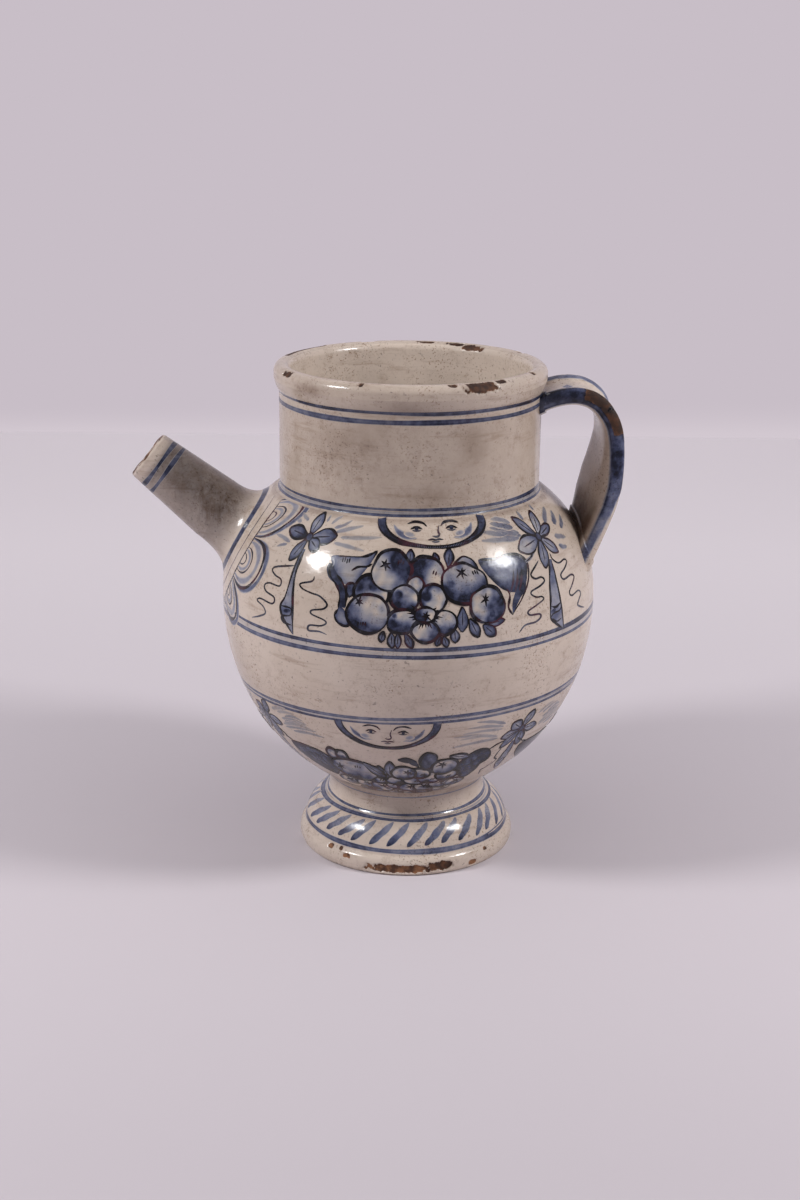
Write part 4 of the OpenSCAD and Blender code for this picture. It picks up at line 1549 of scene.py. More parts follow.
@dataclass
class FootPiece(Glazed):
    """The hollow pedestal foot with its rounded and chipped edge, and the clay ring round its stem."""

    columns: int = 720
    ring_columns: int = 300
    split: float = 40.0
    ledge_r: float = 36.0
    edge: Path = (
        (45.2, 0.0), (45.9, 0.6), (46.4, 1.9), (46.6, 3.8), (46.45, 5.4), (45.9, 6.8), (45.1, 7.7),
        (44.45, 8.3), (44.15, 9.4), (43.75, 11.4), (42.7, 14.4), (40.7, 17.5), (38.2, 20.0), (36.0, 21.3),
        (34.6, 22.0))
    stem: Path = ((31.5, 22.0), (31.5, 31.3), (29.6, 30.3), (25.5, 28.4), (25.5, 26.0), (31.0, 13.0),
                  (36.9, 0.0))
    stand: Path = ((40.3, 0.0),)
    ring: Path = (
        (35.0, 21.9), (34.3, 22.7), (33.7, 24.0), (33.4, 26.0), (33.3, 28.4), (33.6, 30.2), (34.4, 32.1),
        (35.7, 33.5))
    ring_back: Path = ((34.0, 32.6), (31.5, 31.3), (31.5, 21.9))
    chips: tuple[Chip, ...] = (
        Chip(-3, 19, 3.2, 2.0, 0.8), Chip(19, 7.5, 3.9, 2.1, 0.9), Chip(-33, 2.4, 5.8, 1.2, 0.4),
        Chip(-45, 2.2, 7.4, 0.9, 0.35), Chip(38, 3, 2.4, 1.3, 0.5), Chip(-38, 1.4, 7.8, 0.8, 0.3),
        Chip(47, 1.6, 6.4, 0.9, 0.3), Chip(120, 18, 1.8, 1.7, 0.8), Chip(150, 5, 2.2, 1.6, 0.5),
        Chip(-110, 10, 1.6, 1.6, 0.7), Chip(-150, 6, 1.4, 1.8, 0.6), Chip(85, 4, 1.6, 1.4, 0.5),
        Chip(-75, 6, 1.4, 1.2, 0.5))

    def outer(self) -> Array:
        """Outer side of the foot from the table to its ledge."""
        return smooth_path(self.edge, False, 0.4)

    def hollow(self) -> Array:
        """Outer side of the clay ring round the stem, from the ledge to the body."""
        return smooth_path(self.ring, False, 0.5)

    def painted(self) -> TurnedWall:
        """The face that carries the foot's painting."""
        run = [(z, r) for r, z in np.vstack([self.outer()[:-1], self.hollow()[1:]]) if z > 1]
        return TurnedWall(*zip(*run), sway=0.0)

    def dent(self, a: Array, r: Array, z: Array) -> Array:
        """Moves the broken places inwards."""
        depth = broken(self.chips, self.split, a, r, z)
        return np.stack([-depth, 0 * depth], axis=-1)

    def marks(self, a: Array, r: Array, z: Array) -> Marks:
        """Bare clay along the edge and inside, darker in the corner of the ledge and inside, and one scorched
        chip.

        Args:
            a, r, z: Angle, radius and height.

        Returns:
            The marks there.
        """
        worn = (1 - rise(0.1, 0.8, z)) * 0.55 * (r > self.ledge_r)
        bare = np.maximum(bared(self.chips, self.split, a, r, z), worn)
        corner = 0.3 * rise(21.3, 22.0, z) * (r < self.ledge_r)
        scorched = 0.75 * (np.abs(np.degrees(a) - 19) < 7.5) * (z < 7)
        inside = r < np.interp(z, (0, 24), (39, 30))
        soil = np.clip(corner + 0.6 * inside + scorched * bare, 0, 1)
        return {Mark.BARE: np.maximum(bare, 0.8 * inside * (z < 20)), Mark.SOIL: soil}

    @staticmethod
    def ring_marks(a: Array, r: Array, z: Array) -> Marks:
        """Painted shade under the body and a little darker in the corner of the ledge."""
        return {Mark.SOIL: 0.3 * rise(27.0, 33.0, z) + 0.08 * (1 - rise(22.0, 23.4, z))}

    def build(self) -> None:
        """Makes the foot and the clay ring that joins it to the body."""
        foot, ring = Clay("pedestal_foot"), Clay("stem_ring")
        section = np.vstack([self.outer(), fill_steps(self.stem, 2.0), self.stand])
        lathe(foot, section, self.columns, True, self.marks, self.dent, 0.0)
        settle(foot.make(self.glaze), "foot")
        section = np.vstack([self.hollow(), self.ring_back])
        lathe(ring, section, self.ring_columns, True, self.ring_marks, sway=0.0)
        settle(ring.make(self.glaze), "foot_luting")


@dataclass
class NeckRing(Glazed):
    """The small fillet of clay in the corner between the neck and the shoulder."""

    middle: tuple[float, float] = (56.7, 159.77)
    radius: float = 2.3
    sweep: tuple[float, float] = (262, 188)
    columns: int = 360
    soil: float = 0.35

    def build(self) -> None:
        """Makes the ring."""
        clay = Clay("neck_fillet")
        hollow = arc(*self.middle, self.radius, *self.sweep, 10)
        section = np.vstack([hollow, [[NeckPiece.radius, BELLY.seat]]])
        lathe(clay, section, self.columns, True, lambda a, r, z: {Mark.SOIL: self.soil})
        settle(clay.make(self.glaze), "neck_luting")


@dataclass
class SpoutPiece(Glazed):
    """The slanting spout with its worn tip, and the collar that joins it to the body."""

    columns: int = 144
    lip: float = 1.2
    bore_lip: float = 1.5

    def marks(self, angle: Array, s: Array) -> Marks:
        """Grey stain along the tube and the collar, with painted shade deeper along the front and tinted a
        little blue, and the worn tip.

        Args:
            angle, s: Angle and run.

        Returns:
            The marks there.
        """
        frayed = s + 0.2 * np.sin(5 * angle + 1) + 0.12 * np.sin(13 * angle)
        worn = rise(47.2, 47.9, frayed) * 0.9
        # Painted shade along the front of the tube, over an even grey stain.
        front = np.exp(-(((angle + math.pi - 0.45) % TURN - math.pi) / 0.95) ** 2)
        grey_stain_and_shade = (0.32 + 0.42 * front) * rise(45.0, 41.0, s) * rise(2.0, 13.0, s)
        soil = np.clip(grey_stain_and_shade + 0.08 + 0.45 * worn, 0, 1)
        return {Mark.SOIL: soil, Mark.BARE: worn, Mark.COBALT: 0.24 * grey_stain_and_shade}

    def tube(self, angle: Array) -> tuple[Array, Array]:
        """Shapes the tube, up the outer face, over the tip and down the bore.

        Args:
            angle: Angles about the axis.

        Returns:
            Grids of runs and radii, the angles along the last axis.
        """
        start, bore = SPOUT.seat(angle, False, 0.8), SPOUT.seat(angle, True, 0.4)
        tip, end = SPOUT.length - self.lip, SPOUT.length - self.bore_lip
        s_out = start + (tip - start) * np.linspace(0, 1, 70)[:, None]
        r_out = SPOUT.outer(s_out) + SPOUT.swell(angle)
        bend = np.radians(np.linspace(0, 90, 6))[1:, None]
        s_tip = tip + self.lip * np.sin(bend) + 0 * angle
        r_tip = SPOUT.tip_r - self.lip * (1 - np.cos(bend)) + SPOUT.swell(angle)
        s_flat = SPOUT.length - np.array([0, 0, 0, 0.1, 0.3, 0.7])[:, None] + 0 * angle
        r_flat = np.linspace(SPOUT.tip_r - 1.8, SPOUT.bore_r, 6)[:, None] + 0 * angle
        s_in = end + (bore - end) * np.linspace(0, 1, 30)[:, None]
        s = np.vstack([s_out, s_tip, s_flat, s_in])
        s = s + 0.16 * (np.sin(3 * angle + 0.7) + 0.5 * np.sin(8 * angle) - 1.5) * rise(45.5, 47.6, s)
        return s, np.vstack([r_out, r_tip, r_flat, SPOUT.bore_r + 0 * s_in])

    def build(self) -> None:
        """Makes the tube and its collar."""
        angle = ring_angles(self.columns)
        tube, collar = Clay("spout_tube"), Clay("spout_collar")
        s, r = self.tube(angle)
        tube.quads(tube.add(SPOUT.place(angle, s, r), self.marks(angle, s)), around=True, along=True)
        settle(tube.make(self.glaze), "spout")
        run = np.linspace(0, 1, 60)[:, None]
        face = CollarWall().point(angle, run)
        seat = SPOUT.seat(angle, False, 0.6)
        inner = SPOUT.place(angle, seat, SPOUT.outer(seat) - 0.4)
        tone = self.marks(angle, np.concatenate([13.0 * run, run[:1]]))
        collar.quads(collar.add(np.concatenate([face, inner[None]]), tone), around=True, along=True)
        settle(collar.make(self.glaze), "spout_luting")


@dataclass
class HandlePiece(Glazed):
    """The channelled strap handle with blue edges, and the clay pressed round its two ends."""

    half_width: float = 17.0
    edge: float = 5.9
    swell: float = 2.2
    groove: float = 2.6
    skew: float = 11.0
    twist: float = math.radians(15)
    upper: Path = ((40.4, 183.969), (57.991, 200.469), (81.0, 203.469), (81.0, 179.962))
    lower: Path = ((81.0, 179.962), (79.936, 165.997), (75.998, 149.885), (62.019, 112.015))
    steps: int = 200
    run_mm: float = 158.0
    lozenge_mm: float = 26.0
    root: tuple[float, float] = (0.02, 0.3)
    tail: tuple[float, float] = (0.995, 0.7)

    def run(self, u: Array) -> tuple[Array, Array]:
        """The strap's run, in the plane of the spout and the handle.

        Args:
            u: Shares of it, from 0 in the neck to 1 in the body.

        Returns:
            Points and unit directions.
        """
        first = (u < 0.5)[..., None]
        p = [np.where(first, np.array(one), np.array(two)) for one, two in zip(self.upper, self.lower)]
        t = np.where(u < 0.5, 2 * u, 2 * u - 1)[..., None]
        point = (1 - t) ** 3 * p[0] + 3 * t * (1 - t) ** 2 * p[1] + 3 * t * t * (1 - t) * p[2] + t ** 3 * p[3]
        way = (1 - t) ** 2 * (p[1] - p[0]) + 2 * t * (1 - t) * (p[2] - p[1]) + t * t * (p[3] - p[2])
        return point, way / np.linalg.norm(way, axis=-1, keepdims=True)

    def section(self) -> Array:
        """Rounded section of the strap, across and outwards, the near edge on the negative side.

        Returns:
            Points in order.
        """
        w, e, s, g = self.half_width, self.edge, self.swell, self.groove
        o, i = e * 0.85, -e * 0.15
        half = [(w, o - e * 0.34), (w - e * 0.16, o - 0.25), (w - e * 0.55, o - e * 0.02),
                (w - e * 1.3, o - g * 0.72), (w * 0.3, o - g * 0.97)]
        under = [(w * 0.4, i - s * 0.98), (w - e * 0.76, i - s * 0.74), (w - e * 0.2, i - s * 0.2),
                 (w, i + 0.9)]
        left = [(-x, y) for x, y in half][::-1]
        low = [(-x, y) for x, y in under][::-1]
        return smooth_path(half + left + low + under, True, 0.7)

    def swept(self, u: Array, grow: float = 0.0) -> Array:
        """Places of the section's points, each at its own share of the run.

        Args:
            u: The shares, with the section's points along the last axis.
            grow: How far the section is grown.

        Returns:
            Places in millimetres.
        """
        q = self.section()
        ahead, back = np.roll(q, -1, axis=0), np.roll(q, 1, axis=0)
        out = np.stack([back[:, 1] - ahead[:, 1], ahead[:, 0] - back[:, 0]], axis=1)
        q = q + grow * out / np.linalg.norm(out, axis=1, keepdims=True)
        c, d = self.run(u)
        turn = self.twist * np.clip((u - 0.4) / 0.28, 0, 1) * np.clip((1 - u) / 0.25, 0, 1)
        n = q[:, 1] * np.cos(turn) - q[:, 0] * np.sin(turn)
        across = q[:, 0] * np.cos(turn) + q[:, 1] * np.sin(turn)
        sideways = self.skew * (0.45 - u) + across
        return np.stack([c[..., 0] - d[..., 1] * n, sideways, c[..., 1] + d[..., 0] * n], axis=-1)

    @staticmethod
    def depth(p: Array) -> Array:
        """How far places lie inside the neck's or the body's outer face, in millimetres.

        Args:
            p: The places.

        Returns:
            Depths, negative outside.
        """
        z = np.minimum(p[..., 2], BELLY.seat)
        wall = np.where(p[..., 2] > BELLY.seat, NeckPiece.radius, BELLY.radius(z))
        return wall - np.hypot(p[..., 0], p[..., 1])

    def meet(self, low: float, high: float, grow: float, sink: float) -> Array:
        """Share of the run at which each line of the strap goes into the wall.

        Args:
            low, high: Shares inside and outside the wall.
            grow: How far the section is grown.
            sink: Depth at which the meeting is taken.

        Returns:
            One share for each point of the section.
        """
        count = len(self.section())
        inside, outside = np.full(count, low), np.full(count, high)
        for _ in range(36):
            mid = (inside + outside) / 2
            hit = self.depth(self.swept(mid, grow)) > sink
            inside, outside = np.where(hit, mid, inside), np.where(hit, outside, mid)
        return (inside + outside) / 2

    def paint(self, u: Array) -> Marks:
        """Blue edges, lozenges in the channel, worn brown crown, dirt and painted shade in the crook, and
        dirt at the root.

        Args:
            u: Shares of the run, with the section's points along the last axis.

        Returns:
            The marks of those places.
        """
        q = self.section()
        across, out = q[:, 0] + 0 * u, q[:, 1] + 0 * u
        wave = 0.35 * np.sin(u * 60) + 0.25 * np.sin(u * 143 + 1)
        reach = 3.7 - 2.1 * rise(0.66, 0.88, u) - self.half_width
        near = 1 - rise(-0.4, 0.4, across + 0.3 * wave - reach)
        near *= rise(-1.6, -0.9, out) * rise(0.085, 0.11, u)
        near *= rise(0.8, 0.0, out - np.interp(u, (0.6, 0.72, 0.95), (9.0, 3.4, 0.6)))
        rim = across + 0.5 * wave - self.half_width
        far = rise(-5.6, -4.8, rim) * rise(-1.8, -2.6, rim) * rise(1.4, 2.2, out)
        cell = np.abs((u * self.run_mm / self.lozenge_mm + 0.1) % 1 - 0.5) * self.lozenge_mm
        lozenge = (1 - rise(0.7, 1.05, np.abs(across - 1.5) / 4.4 + cell / 3.6)) * (out > 0.5)
        tone = np.interp(u, (0.1, 0.2, 0.45, 0.6, 0.75, 0.95), (0.85, 0.9, 0.92, 0.84, 0.74, 0.6))
        tone = tone + 0.1 * np.sin(across * 4.2 + 2 * np.sin(u * 19))
        patchy = 0.5 * np.sin(u * 90 + across * 0.9) * np.sin(u * 37 + 2)
        wear = rise(0.27, 0.285, u + 0.004 * wave) * rise(0.485, 0.47, u + 0.006 * wave)
        wear *= rise(-12.4, -13.2, across) * rise(0.3, 1.2, out)
        smear = 0.6 * hump(u, 0.15, 0.04) * (out > 0.5)
        # The crook on the strap's inner face: brown dirt with painted shade.
        crook = rise(0.71, 0.83, u) * rise(0.6, -0.6, out) * rise(-16.2, -11.5, across)
        ends = 0.4 * hump(u, 0.105, 0.03) + crook
        marks = {Mark.COBALT: tone * np.maximum(near, np.maximum(0.72 * far, 0.8 * lozenge)),
                 Mark.LINE: 0.52 * wear + 0.5 * crook, Mark.BARE: wear * (0.72 + 0.4 * patchy),
                 Mark.SOIL: 0.02 + 0.85 * ends + smear + (0.95 - 0.3 * patchy) * wear}
        return {mark: np.clip(value, 0, 1) for mark, value in marks.items()}

    def pad(self, name: str, ends: tuple[float, float], climb: float, spread: float) -> Clay:
        """Shapes the fillet of clay pressed round one end of the strap.

        Args:
            name: Name of the piece.
            ends: Shares of the run inside and outside the wall.
            climb: Change of the share up to where the clay runs out on the strap.
            spread: How far it spreads on the wall.

        Returns:
            The shaped clay.
        """
        seat = self.meet(*ends, 0.0, 0.0)
        low = self.swept(self.meet(*ends, spread, 0.04), spread)
        corner = self.swept(seat + 0.1 * climb, 0.15)
        top = self.swept(seat + climb, 0.06)
        t = np.linspace(0, 1, 10)[:, None]
        bend = t[..., None]
        face = low * (1 - bend) ** 2 + 2 * corner * bend * (1 - bend) + top * bend ** 2
        deep = self.meet(*ends, -0.6, 0.7)
        back = np.stack([self.swept(seat + 0.85 * climb, -0.7), self.swept(deep, -0.6)])
        marks = self.paint(np.concatenate([seat + climb * t, np.stack([seat, seat])]))
        clay = Clay(name)
        clay.quads(clay.add(np.concatenate([face, back]), marks), around=True, along=True, turn=climb > 0)
        return clay

    def build(self) -> None:
        """Makes the strap and the clay at its two ends."""
        first, last = self.meet(*self.root, 0.0, 1.6), self.meet(*self.tail, 0.0, 1.6)
        u = first + (last - first) * np.linspace(0, 1, self.steps)[:, None]
        rings = self.swept(u)
        clay = Clay("strap_handle")
        index = clay.add(rings, self.paint(u))
        clay.quads(index, around=True, turn=True)
        clay.cap(index, [rings[0].mean(axis=0), rings[-1].mean(axis=0)])
        settle(clay.make(self.glaze), "handle")
        settle(self.pad("upper_strap_clay", self.root, 0.018, 2.6).make(self.glaze), "handle_root_luting")
        settle(self.pad("lower_strap_clay", self.tail, -0.02, 2.2).make(self.glaze), "handle_tail_luting")


@dataclass
class Painting(Glazed):
    """All brushwork on the jar."""

    band_columns: int = 360
    band_fade: Path = ((-1.0, 0.0), (-0.72, 1.0), (0.0, 0.86), (0.72, 1.06), (1.0, 0.0))
    ring_columns: int = 144
    ring_fade: Path = ((-1.0, 0.0), (-0.7, 1.0), (0.7, 1.0), (1.0, 0.0))
    scroll_r: float = 36.0
    scroll_base: float = 33.0
    upper_r: float = 72.0
    upper_z: float = 120.0
    lower_r: float = 60.0
    foot_r: float = 43.0
    foot_seeds: tuple[int, ...] = (31, 32, 33, 34)
    foot_strokes: int = 34
    foot_sway: float = 0.02
    foot_seed: int = 7

    def bands(self) -> None:
        """Paints the rings that part the friezes, on the neck, the body and the foot."""
        neck = TurnedWall((157.4, 158.6, 159.9, 196.9, 198.8, 200.7), (55.6, 54.75, 54.4, 54.4, 54.55, 55.5))
        jobs = (
            # The neck's bands carry the neck's even stain and painted shade; the body's bands carry the
            # painted shade of the shoulder.
            ("neck_bands", neck, lambda z: 0.3 + 0 * z, (
                (159.7, 1.6, 0.3, 0.3, 0.0), (199.3, 3.0, 0.84, 0.5, 0.0), (195.3, 2.3, 0.8, 0.5, 0.0),
                (160.9, 2.0, 0.78, 0.4, 0.0), (158.4, 1.9, 0.76, 0.4, 0.0))),
            ("body_bands", BELLY, shoulder_shade, (
                (109.8, 2.6, 0.16, 0.3, 0.0), (111.5, 2.3, 0.85, 0.4, 0.0), (108.2, 2.1, 0.8, 0.3, 0.0),
                (80.0, 1.6, 0.2, 0.3, 2.0), (81.1, 1.9, 0.72, 0.3, 2.0), (79.0, 2.0, 0.76, 0.4, 2.0))),
            ("foot_bands", FootPiece().painted(), spotless, (
                (21.9, 0.9, 0.3, 0.2, 0.0), (21.05, 1.2, 0.76, 0.2, 0.0), (22.7, 1.6, 0.76, 0.2, 0.0),
                (30.6, 0.8, 0.45, 0.3, 0.0), (10.2, 3.6, 0.74, 0.4, 0.0))))
        a = ring_angles(self.band_columns)
        for name, wall, soil, rows in jobs:
            brush = Brush(name, wall, 11, soil)
            for z, width, tone, sway, tilt in rows:
                shift = tilt * np.sin(a) + 0.1 * np.sin(2 * a + z) + 0.06 * np.sin(5 * a + 2 * z)
                half = 0.5 * width * (0.8 + 0.2 * np.cos(a + z) + 0.1 * np.sin(7 * a))
                strength = tone * (1 + 0.22 * sway * np.sin(3 * a + z) + 0.16 * sway * np.sin(8 * a))
                brush.hoop(z + shift, half, strength, self.band_fade, 0.1)
                brush.lift += brush.LINE_STEP
            settle(brush.make(self.glaze))

    def friezes(self) -> None:
        """Paints the two swags of the upper frieze and the three of the lower one."""
        for name, az, flip, seed in (("front", 6.8, 1, 3), ("back", 173.2, -1, 5)):
            brush = Brush(f"upper_frieze_{name}", BELLY, seed, shoulder_shade)
            SwagPainter(brush).upper_swag(Patch(math.radians(az), self.upper_z, self.upper_r, flip))
            settle(brush.make(self.glaze))
        for name, az, half, seed in (
                ("front", -5.7, 48.13, 8), ("right", 107.5, 65.08, 9), ("left", -122.35, 65.08, 10)):
            brush = Brush(f"lower_frieze_{name}", BELLY, seed)
            middle = Patch(math.radians(az), 0.0, self.lower_r)
            SwagPainter(brush).lower_swag(middle, math.radians(half) * self.lower_r)
            settle(brush.make(self.glaze))

    def spout(self) -> None:
        """Paints the rings of the spout and its collar."""
        a = ring_angles(self.ring_columns)
        # The spout's rings and the collar's ring carry the spout's stain and painted shade, so that they
        # match it.
        rings = Brush("spout_rings", SPOUT, 21, lambda s: 0.3 + 0 * s)
        for s, width, tone in ((41.6, 2.2, 0.9), (37.4, 2.2, 0.88)):
            half = 0.5 * width * (0.9 + 0.2 * np.sin(3 * a + s))
            rings.hoop(s + 0.3 * np.sin(2 * a), half, tone * (0.9 + 0.15 * np.sin(5 * a)), self.ring_fade)
        settle(rings.make(self.glaze))
        collar = Brush("collar_rings", CollarWall(), 22, lambda s: 0.2 + 0 * s, 0.05)
        collar.hoop(0.2 + 0 * a, 0.1 + 0 * a, 0.85 + 0 * a, self.ring_fade)
        settle(collar.make(self.glaze))

    def scrolls(self) -> None:
        """Paints the two lines and the lobes that fan out round the collar on the body."""
        brush = Brush("collar_scrolls", BELLY, 23, shoulder_shade)
        polar = lambda xy: belly_polar(xy[..., 0], xy[..., 1] / self.scroll_r)
        nested = ((0.97, 1.13, 2.6, 0.68, 0.0, 0.5), (0.8, 0.8, 3.0, 0.42, 0.0, 0.6),
                  (1.0, 1.0, (0.9, 1.3, 1.0, 1.4, 0.9), 0.6, 1.0, 0.0), (0.55, 0.52, 0.75, 0.6, 0.85, 0.0),
                  (0.42, 0.42, 1.8, 0.4, 0.0, 0.5), (0.25, 0.24, 0.65, 0.6, 0.8, 0.0))
        for side in (1, -1):
            def draw(path: Path, width: Any, cobalt: float, line: float, soft: float = 0.0) -> None:
                """Draws a stroke through points given by degrees from straight up and distance."""
                run = [(rho, side * math.radians(degrees) * self.scroll_r) for degrees, rho in path]
                brush.ribbon(polar, run, width, cobalt, line, soft=soft)

            draw([(d, 27.0) for d in range(36, 184, 12)], 0.6, 0.6, 0.6)
            draw([(d, self.scroll_base) for d in range(48, 160, 12)], 0.95, 0.7, 0.9)
            for first, last, deep in ((47, 83, 14.5), (84, 117, 17.0), (118, 144, 14.0)):
                mid, wide = (first + last) / 2, (last - first) / 2
                for k, grow, *look in nested:
                    arch = arc(0, 0, 1, 180, 0, 10) * (wide * k, deep * grow)
                    draw(arch + (mid, self.scroll_base), *look)
        settle(brush.make(self.glaze))

    def comma(self, seed: int) -> Any:
        """Makes one slanting comma stroke on the foot, to be repeated.

        Args:
            seed: Seed of its irregularities.

        Returns:
            The object.
        """
        brush = Brush(f"foot_stroke_{seed}", FootPiece().painted(), seed)
        lean = self.foot_r * (0.245 + brush.hand.uniform(-0.02, 0.02))
        top, low = 20.4 + brush.hand.uniform(-0.3, 0.2), 12.5 + brush.hand.uniform(-0.6, 0.6)
        tone = brush.hand.uniform(0.72, 1.02) * np.array([0.55, 0.58, 0.68, 0.82, 0.98])
        path = [(lean, top), (lean * 0.5, (top + low) / 2 + 0.3), (0, low)]
        brush.ribbon(lambda xy: (xy[..., 0] / self.foot_r, xy[..., 1]), path, (2.9, 3.1, 3.0, 2.7, 2.2), tone,
                     (0, 0, 0, 0.1, 0.35), ends=(0.4, 0.14), soft=0.22)
        return brush.make(self.glaze)

    def stroke_ring(self, variants: Sequence[Any]) -> Any:
        """Builds the node group that sets strokes round the jar's axis.

        Args:
            variants: Strokes to pick from.

        Returns:
            The node group, with number, sway and seed as inputs.
        """
        tree = bpy.data.node_groups.new("stroke_ring", "GeometryNodeTree")
        sockets = (("Geometry", "Geometry"), ("Strokes", "Int"), ("Sway", "Float"), ("Seed", "Int"))
        for way, pairs in (("INPUT", sockets), ("OUTPUT", sockets[:1])):
            for name, kind in pairs:
                tree.interface.new_socket(name, in_out=way, socket_type=f"NodeSocket{kind}")
        nodes = Nodes(tree)
        put, calc = nodes.put, nodes.calc
        given = put("NodeGroupInput")
        spots = put("GeometryNodePoints", None, {"Count": given["Strokes"]})[0]
        sources = [put("GeometryNodeObjectInfo", None, {"Object": one})["Geometry"] for one in variants]
        lone = [put("GeometryNodeGeometryToInstance", None, {0: source})[0] for source in sources]
        shapes = put("GeometryNodeJoinGeometry", None, {0: lone})[0]
        turn = calc("MULTIPLY", calc("DIVIDE", put("GeometryNodeInputIndex")[0], given["Strokes"]), TURN)
        span = {2: calc("MULTIPLY", given["Sway"], -1.0), 3: given["Sway"], 8: given["Seed"]}
        sway = put("FunctionNodeRandomValue", {"data_type": "FLOAT"}, span)[1]
        spin = put("ShaderNodeCombineXYZ", None, {2: calc("ADD", turn, sway)})[0]
        choice = {4: 0, 5: len(variants) - 1, 8: given["Seed"]}
        pick = put("FunctionNodeRandomValue", {"data_type": "INT"}, choice)[2]
        feeds = {"Points": spots, "Instance": shapes, "Pick Instance": True, "Instance Index": pick,
                 "Rotation": spin}
        copies = put("GeometryNodeInstanceOnPoints", None, feeds)[0]
        solid = put("GeometryNodeRealizeInstances", None, {0: copies})[0]
        painted = put("GeometryNodeSetMaterial", None, {"Geometry": solid, "Material": self.glaze})[0]
        put("NodeGroupOutput", None, {0: painted})
        return tree

    def foot(self) -> None:
        """Repeats slanting comma strokes round the foot with Geometry Nodes."""
        variants = [self.comma(seed) for seed in self.foot_seeds]
        host = Clay("foot_strokes")
        host.add(np.zeros((1, 3)))
        piece = host.make(self.glaze)
        growth = piece.modifiers.new("stroke_ring", "NODES")
        growth.node_group = self.stroke_ring(variants)
        sizes = {"Strokes": self.foot_strokes, "Sway": self.foot_sway, "Seed": self.foot_seed}
        for item in growth.node_group.interface.items_tree:
            if item.name in sizes:
                growth[item.identifier] = sizes[item.name]
        apply_modifiers(piece)
        for variant in variants:
            bpy.data.objects.remove(variant)
        settle(piece)


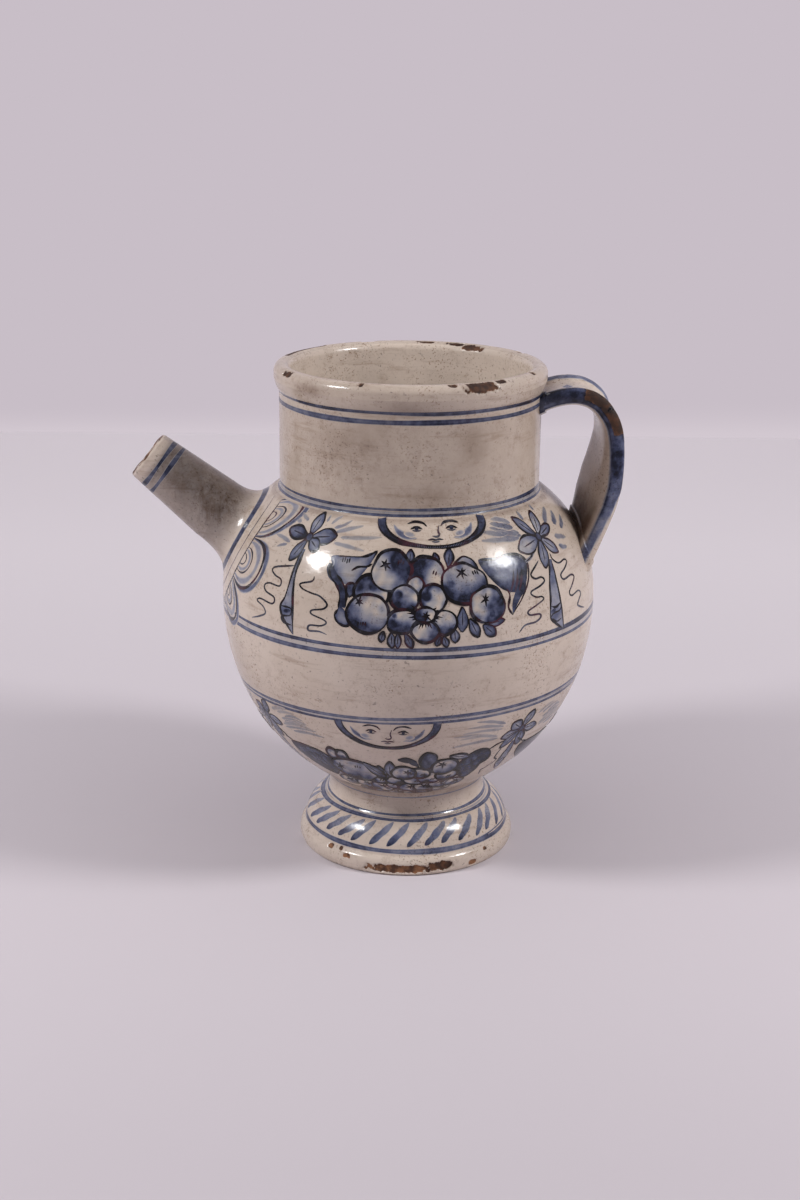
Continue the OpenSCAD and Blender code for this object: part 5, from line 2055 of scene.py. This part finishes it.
@dataclass
class Studio:
    """Plain paper sweep, two soft boxes, a room dimmer behind the camera, and the photograph's camera."""

    fold_y: float = 0.833
    floor_far: str = "#f4ecf2"
    # Painted shade: the floor is darker towards the camera.
    floor_near: str = "#c6bec4"
    floor_glow: str = "#f2e9f0"
    wall_colour: str = "#e8dfe7"
    wall_glow: str = "#c8bec7"
    fold_glow: str = "#d2c8d0"
    fold_tilt: float = 0.023
    fold_mm: float = 72.0
    box_size: float = 0.2
    box_power: float = 4.45
    box_away: float = 0.8
    room: float = 0.52
    room_behind: float = 0.22
    zenith: float = 0.74
    room_colour: str = "#fdfaff"
    mottle: str = "#c8c8c8"
    mottle_mm: float = 1000 / 3
    half_width: float = 3000.0
    near_edge: float = -2500.0
    wall_top: float = 2500.0
    bend_r: float = 160.0
    camera_at: tuple[float, float, float] = (-0.00345, -0.75, 0.3401)
    camera_down: float = 17.245
    camera_roll: float = 0.52
    lens: float = 55.17

    def paper(self, name: str, far: str, near: str, glow: tuple[str, str],
              reach: tuple[float, float, float]) -> Any:
        """Matt paper that gives a quiet pale ground, with the faintest mottle and a soft fold.

        Args:
            name: Its name.
            far, near: Its sRGB colours at the back and the front.
            glow: The pale colours seen far from the jar, before the fold and behind it.
            reach: Depths where those start and are full, and their share there.

        Returns:
            The material.
        """
        material = bpy.data.materials.new(name)
        nodes = Nodes.of(material)
        band, blend, calc = nodes.band, nodes.blend, nodes.calc
        place = nodes.put("ShaderNodeTexCoord")["Object"]
        axes = nodes.put("ShaderNodeSeparateXYZ", None, {0: place})

        # The sheet itself, with painted shade that darkens it towards the camera.
        sheet = blend(band(axes[1], 0.95, -0.25, ease="LINEAR"), linear(far), linear(near))
        fibres = calc("MULTIPLY", nodes.noise(self.mottle_mm, place, 2.0, 0.5), 0.06)
        tone = blend(fibres, sheet, linear(self.mottle), "MULTIPLY")
        matt = {"Base Color": tone, "Roughness": 0.8, "Specular IOR Level": 0.1}
        shader = nodes.put("ShaderNodeBsdfPrincipled", None, matt)[0]

        # The overexposed part, seen by the camera and in reflections only, so that it lights nothing.
        path = nodes.put("ShaderNodeLightPath")
        seen = path["Is Camera Ray"]
        for ray in ("Is Glossy Ray", "Is Transmission Ray"):
            seen = calc("ADD", seen, path[ray], clamp=True)
        start, full, most = reach
        shown = calc("MULTIPLY", seen, band(axes[1], start, full, 0.0, most))
        lean = calc("MULTIPLY_ADD", axes[0], -self.fold_tilt, axes[1])
        fold = band(lean, self.fold_y, self.fold_y + self.fold_mm * MM)
        shade = blend(fold, linear(glow[0]), linear(glow[1]))
        pale = nodes.put("ShaderNodeEmission", None, {"Color": shade, "Strength": 1.0})[0]
        both = nodes.put("ShaderNodeMixShader", None, {0: shown, 1: shader, 2: pale})[0]
        nodes.put("ShaderNodeOutputMaterial", None, {"Surface": both})
        return material

    def sheet(self, name: str, line: Path, flat: bool) -> Clay:
        """Shapes one wide sheet of paper.

        Args:
            name: Its name.
            line: Depth and height of its points.
            flat: True for no smooth shading.

        Returns:
            The shaped sheet.
        """
        clay, sides = Clay(name), (-self.half_width, self.half_width)
        clay.quads(clay.add(np.array([[(x, y, z) for x in sides] for y, z in line], float)), flat=flat)
        return clay

    def stage(self) -> None:
        """Makes the floor and the backdrop."""
        fold, bend = self.fold_y / MM, self.bend_r
        curve = np.vstack([arc(fold, bend, bend, -90, 0, 16), [[fold + bend, self.wall_top]]])
        floor = self.sheet("floor", ((self.near_edge, 0), (fold, 0)), True)
        sweep = self.sheet("backdrop", curve, False)
        pale, wall, glow = (self.floor_glow,) * 2, self.wall_colour, (self.fold_glow, self.wall_glow)
        floor_paper = self.paper("pale_floor_paper", self.floor_far, self.floor_near, pale, (0.0, 0.5, 0.42))
        wall_paper = self.paper("pale_wall_paper", wall, wall, glow, (0.0, 0.1, 1.0))
        floor.make(floor_paper)
        sweep.make(wall_paper)

    def lamp(self, name: str, az: float, el: float, aim: tuple[float, float, float]) -> None:
        """Sets up one round soft box.

        Args:
            name: Its name.
            az, el: Angles from the front and over the table, in degrees.
            aim: Where it looks, in metres.
        """
        lamp = bpy.data.lights.new(name, "AREA")
        lamp.shape, lamp.size, lamp.energy = "DISK", self.box_size, self.box_power
        a, e = math.radians(az), math.radians(el)
        way = turned(math.cos(e), a, math.sin(e))
        spot = Matrix.Translation([float(v) for v in way * self.box_away + np.array(aim)])
        turn = Matrix.Rotation(a, 4, "Z") @ Matrix.Rotation(math.pi / 2 - e, 4, "X")
        holder = bpy.data.objects.new(name, lamp)
        holder.matrix_world = spot @ turn
        bpy.context.scene.collection.objects.link(holder)

    def light_room(self) -> None:
        """Lights the room evenly, dimmer behind the camera and overhead."""
        world = bpy.data.worlds.new("even_room")
        nodes = Nodes.of(world)
        way = nodes.put("ShaderNodeTexCoord")["Generated"]
        parts = nodes.put("ShaderNodeSeparateXYZ", None, {0: way})
        level = nodes.band(parts[1], -0.8, 0.1, self.room_behind, self.room)
        level = nodes.calc("MULTIPLY", level, nodes.band(parts[2], 0.3, 0.95, 1.0, self.zenith))
        feeds = {"Color": linear(self.room_colour), "Strength": level}
        glow = nodes.put("ShaderNodeBackground", None, feeds)[0]
        nodes.put("ShaderNodeOutputWorld", None, {"Surface": glow})
        bpy.context.scene.world = world

    def camera(self) -> None:
        """Sets the camera at the photograph's place."""
        eye = bpy.data.cameras.new("photo_camera")
        eye.sensor_fit, eye.sensor_width, eye.sensor_height, eye.lens = "AUTO", 36.0, 24.0, self.lens
        eye.clip_start, eye.clip_end = 0.05, 20.0
        tilt = Matrix.Rotation(math.radians(90 - self.camera_down), 4, "X")
        roll = Matrix.Rotation(math.radians(self.camera_roll), 4, "Z")
        holder = bpy.data.objects.new("photo_camera", eye)
        holder.matrix_world = Matrix.Translation(self.camera_at) @ tilt @ roll
        bpy.context.scene.collection.objects.link(holder)
        bpy.context.scene.camera = holder
        bpy.context.scene.view_settings.view_transform = "Standard"

    def build(self) -> None:
        """Makes the floor, the backdrop, the lamps, the room's light and the camera."""
        self.stage()
        self.lamp("soft_box_left", -71.1, 37.3, (-0.0355, -0.0612, 0.1423))
        self.lamp("soft_box_right", 73.8, 37.3, (0.0362, -0.0604, 0.1427))
        self.light_room()
        self.camera()


def main() -> None:
    """Builds the studio, the jar's pieces and the painting."""
    logging.basicConfig(level=logging.INFO, format="%(message)s")
    Studio().build()
    glaze = GlazeFinish().make()
    for piece in (BellyPiece, NeckPiece, NeckRing, FootPiece, SpoutPiece, HandlePiece):
        piece(glaze).build()
    painting = Painting(glaze)
    for paint in (painting.bands, painting.friezes, painting.spout, painting.scrolls, painting.foot):
        paint()


if __name__ == "__main__":
    main()
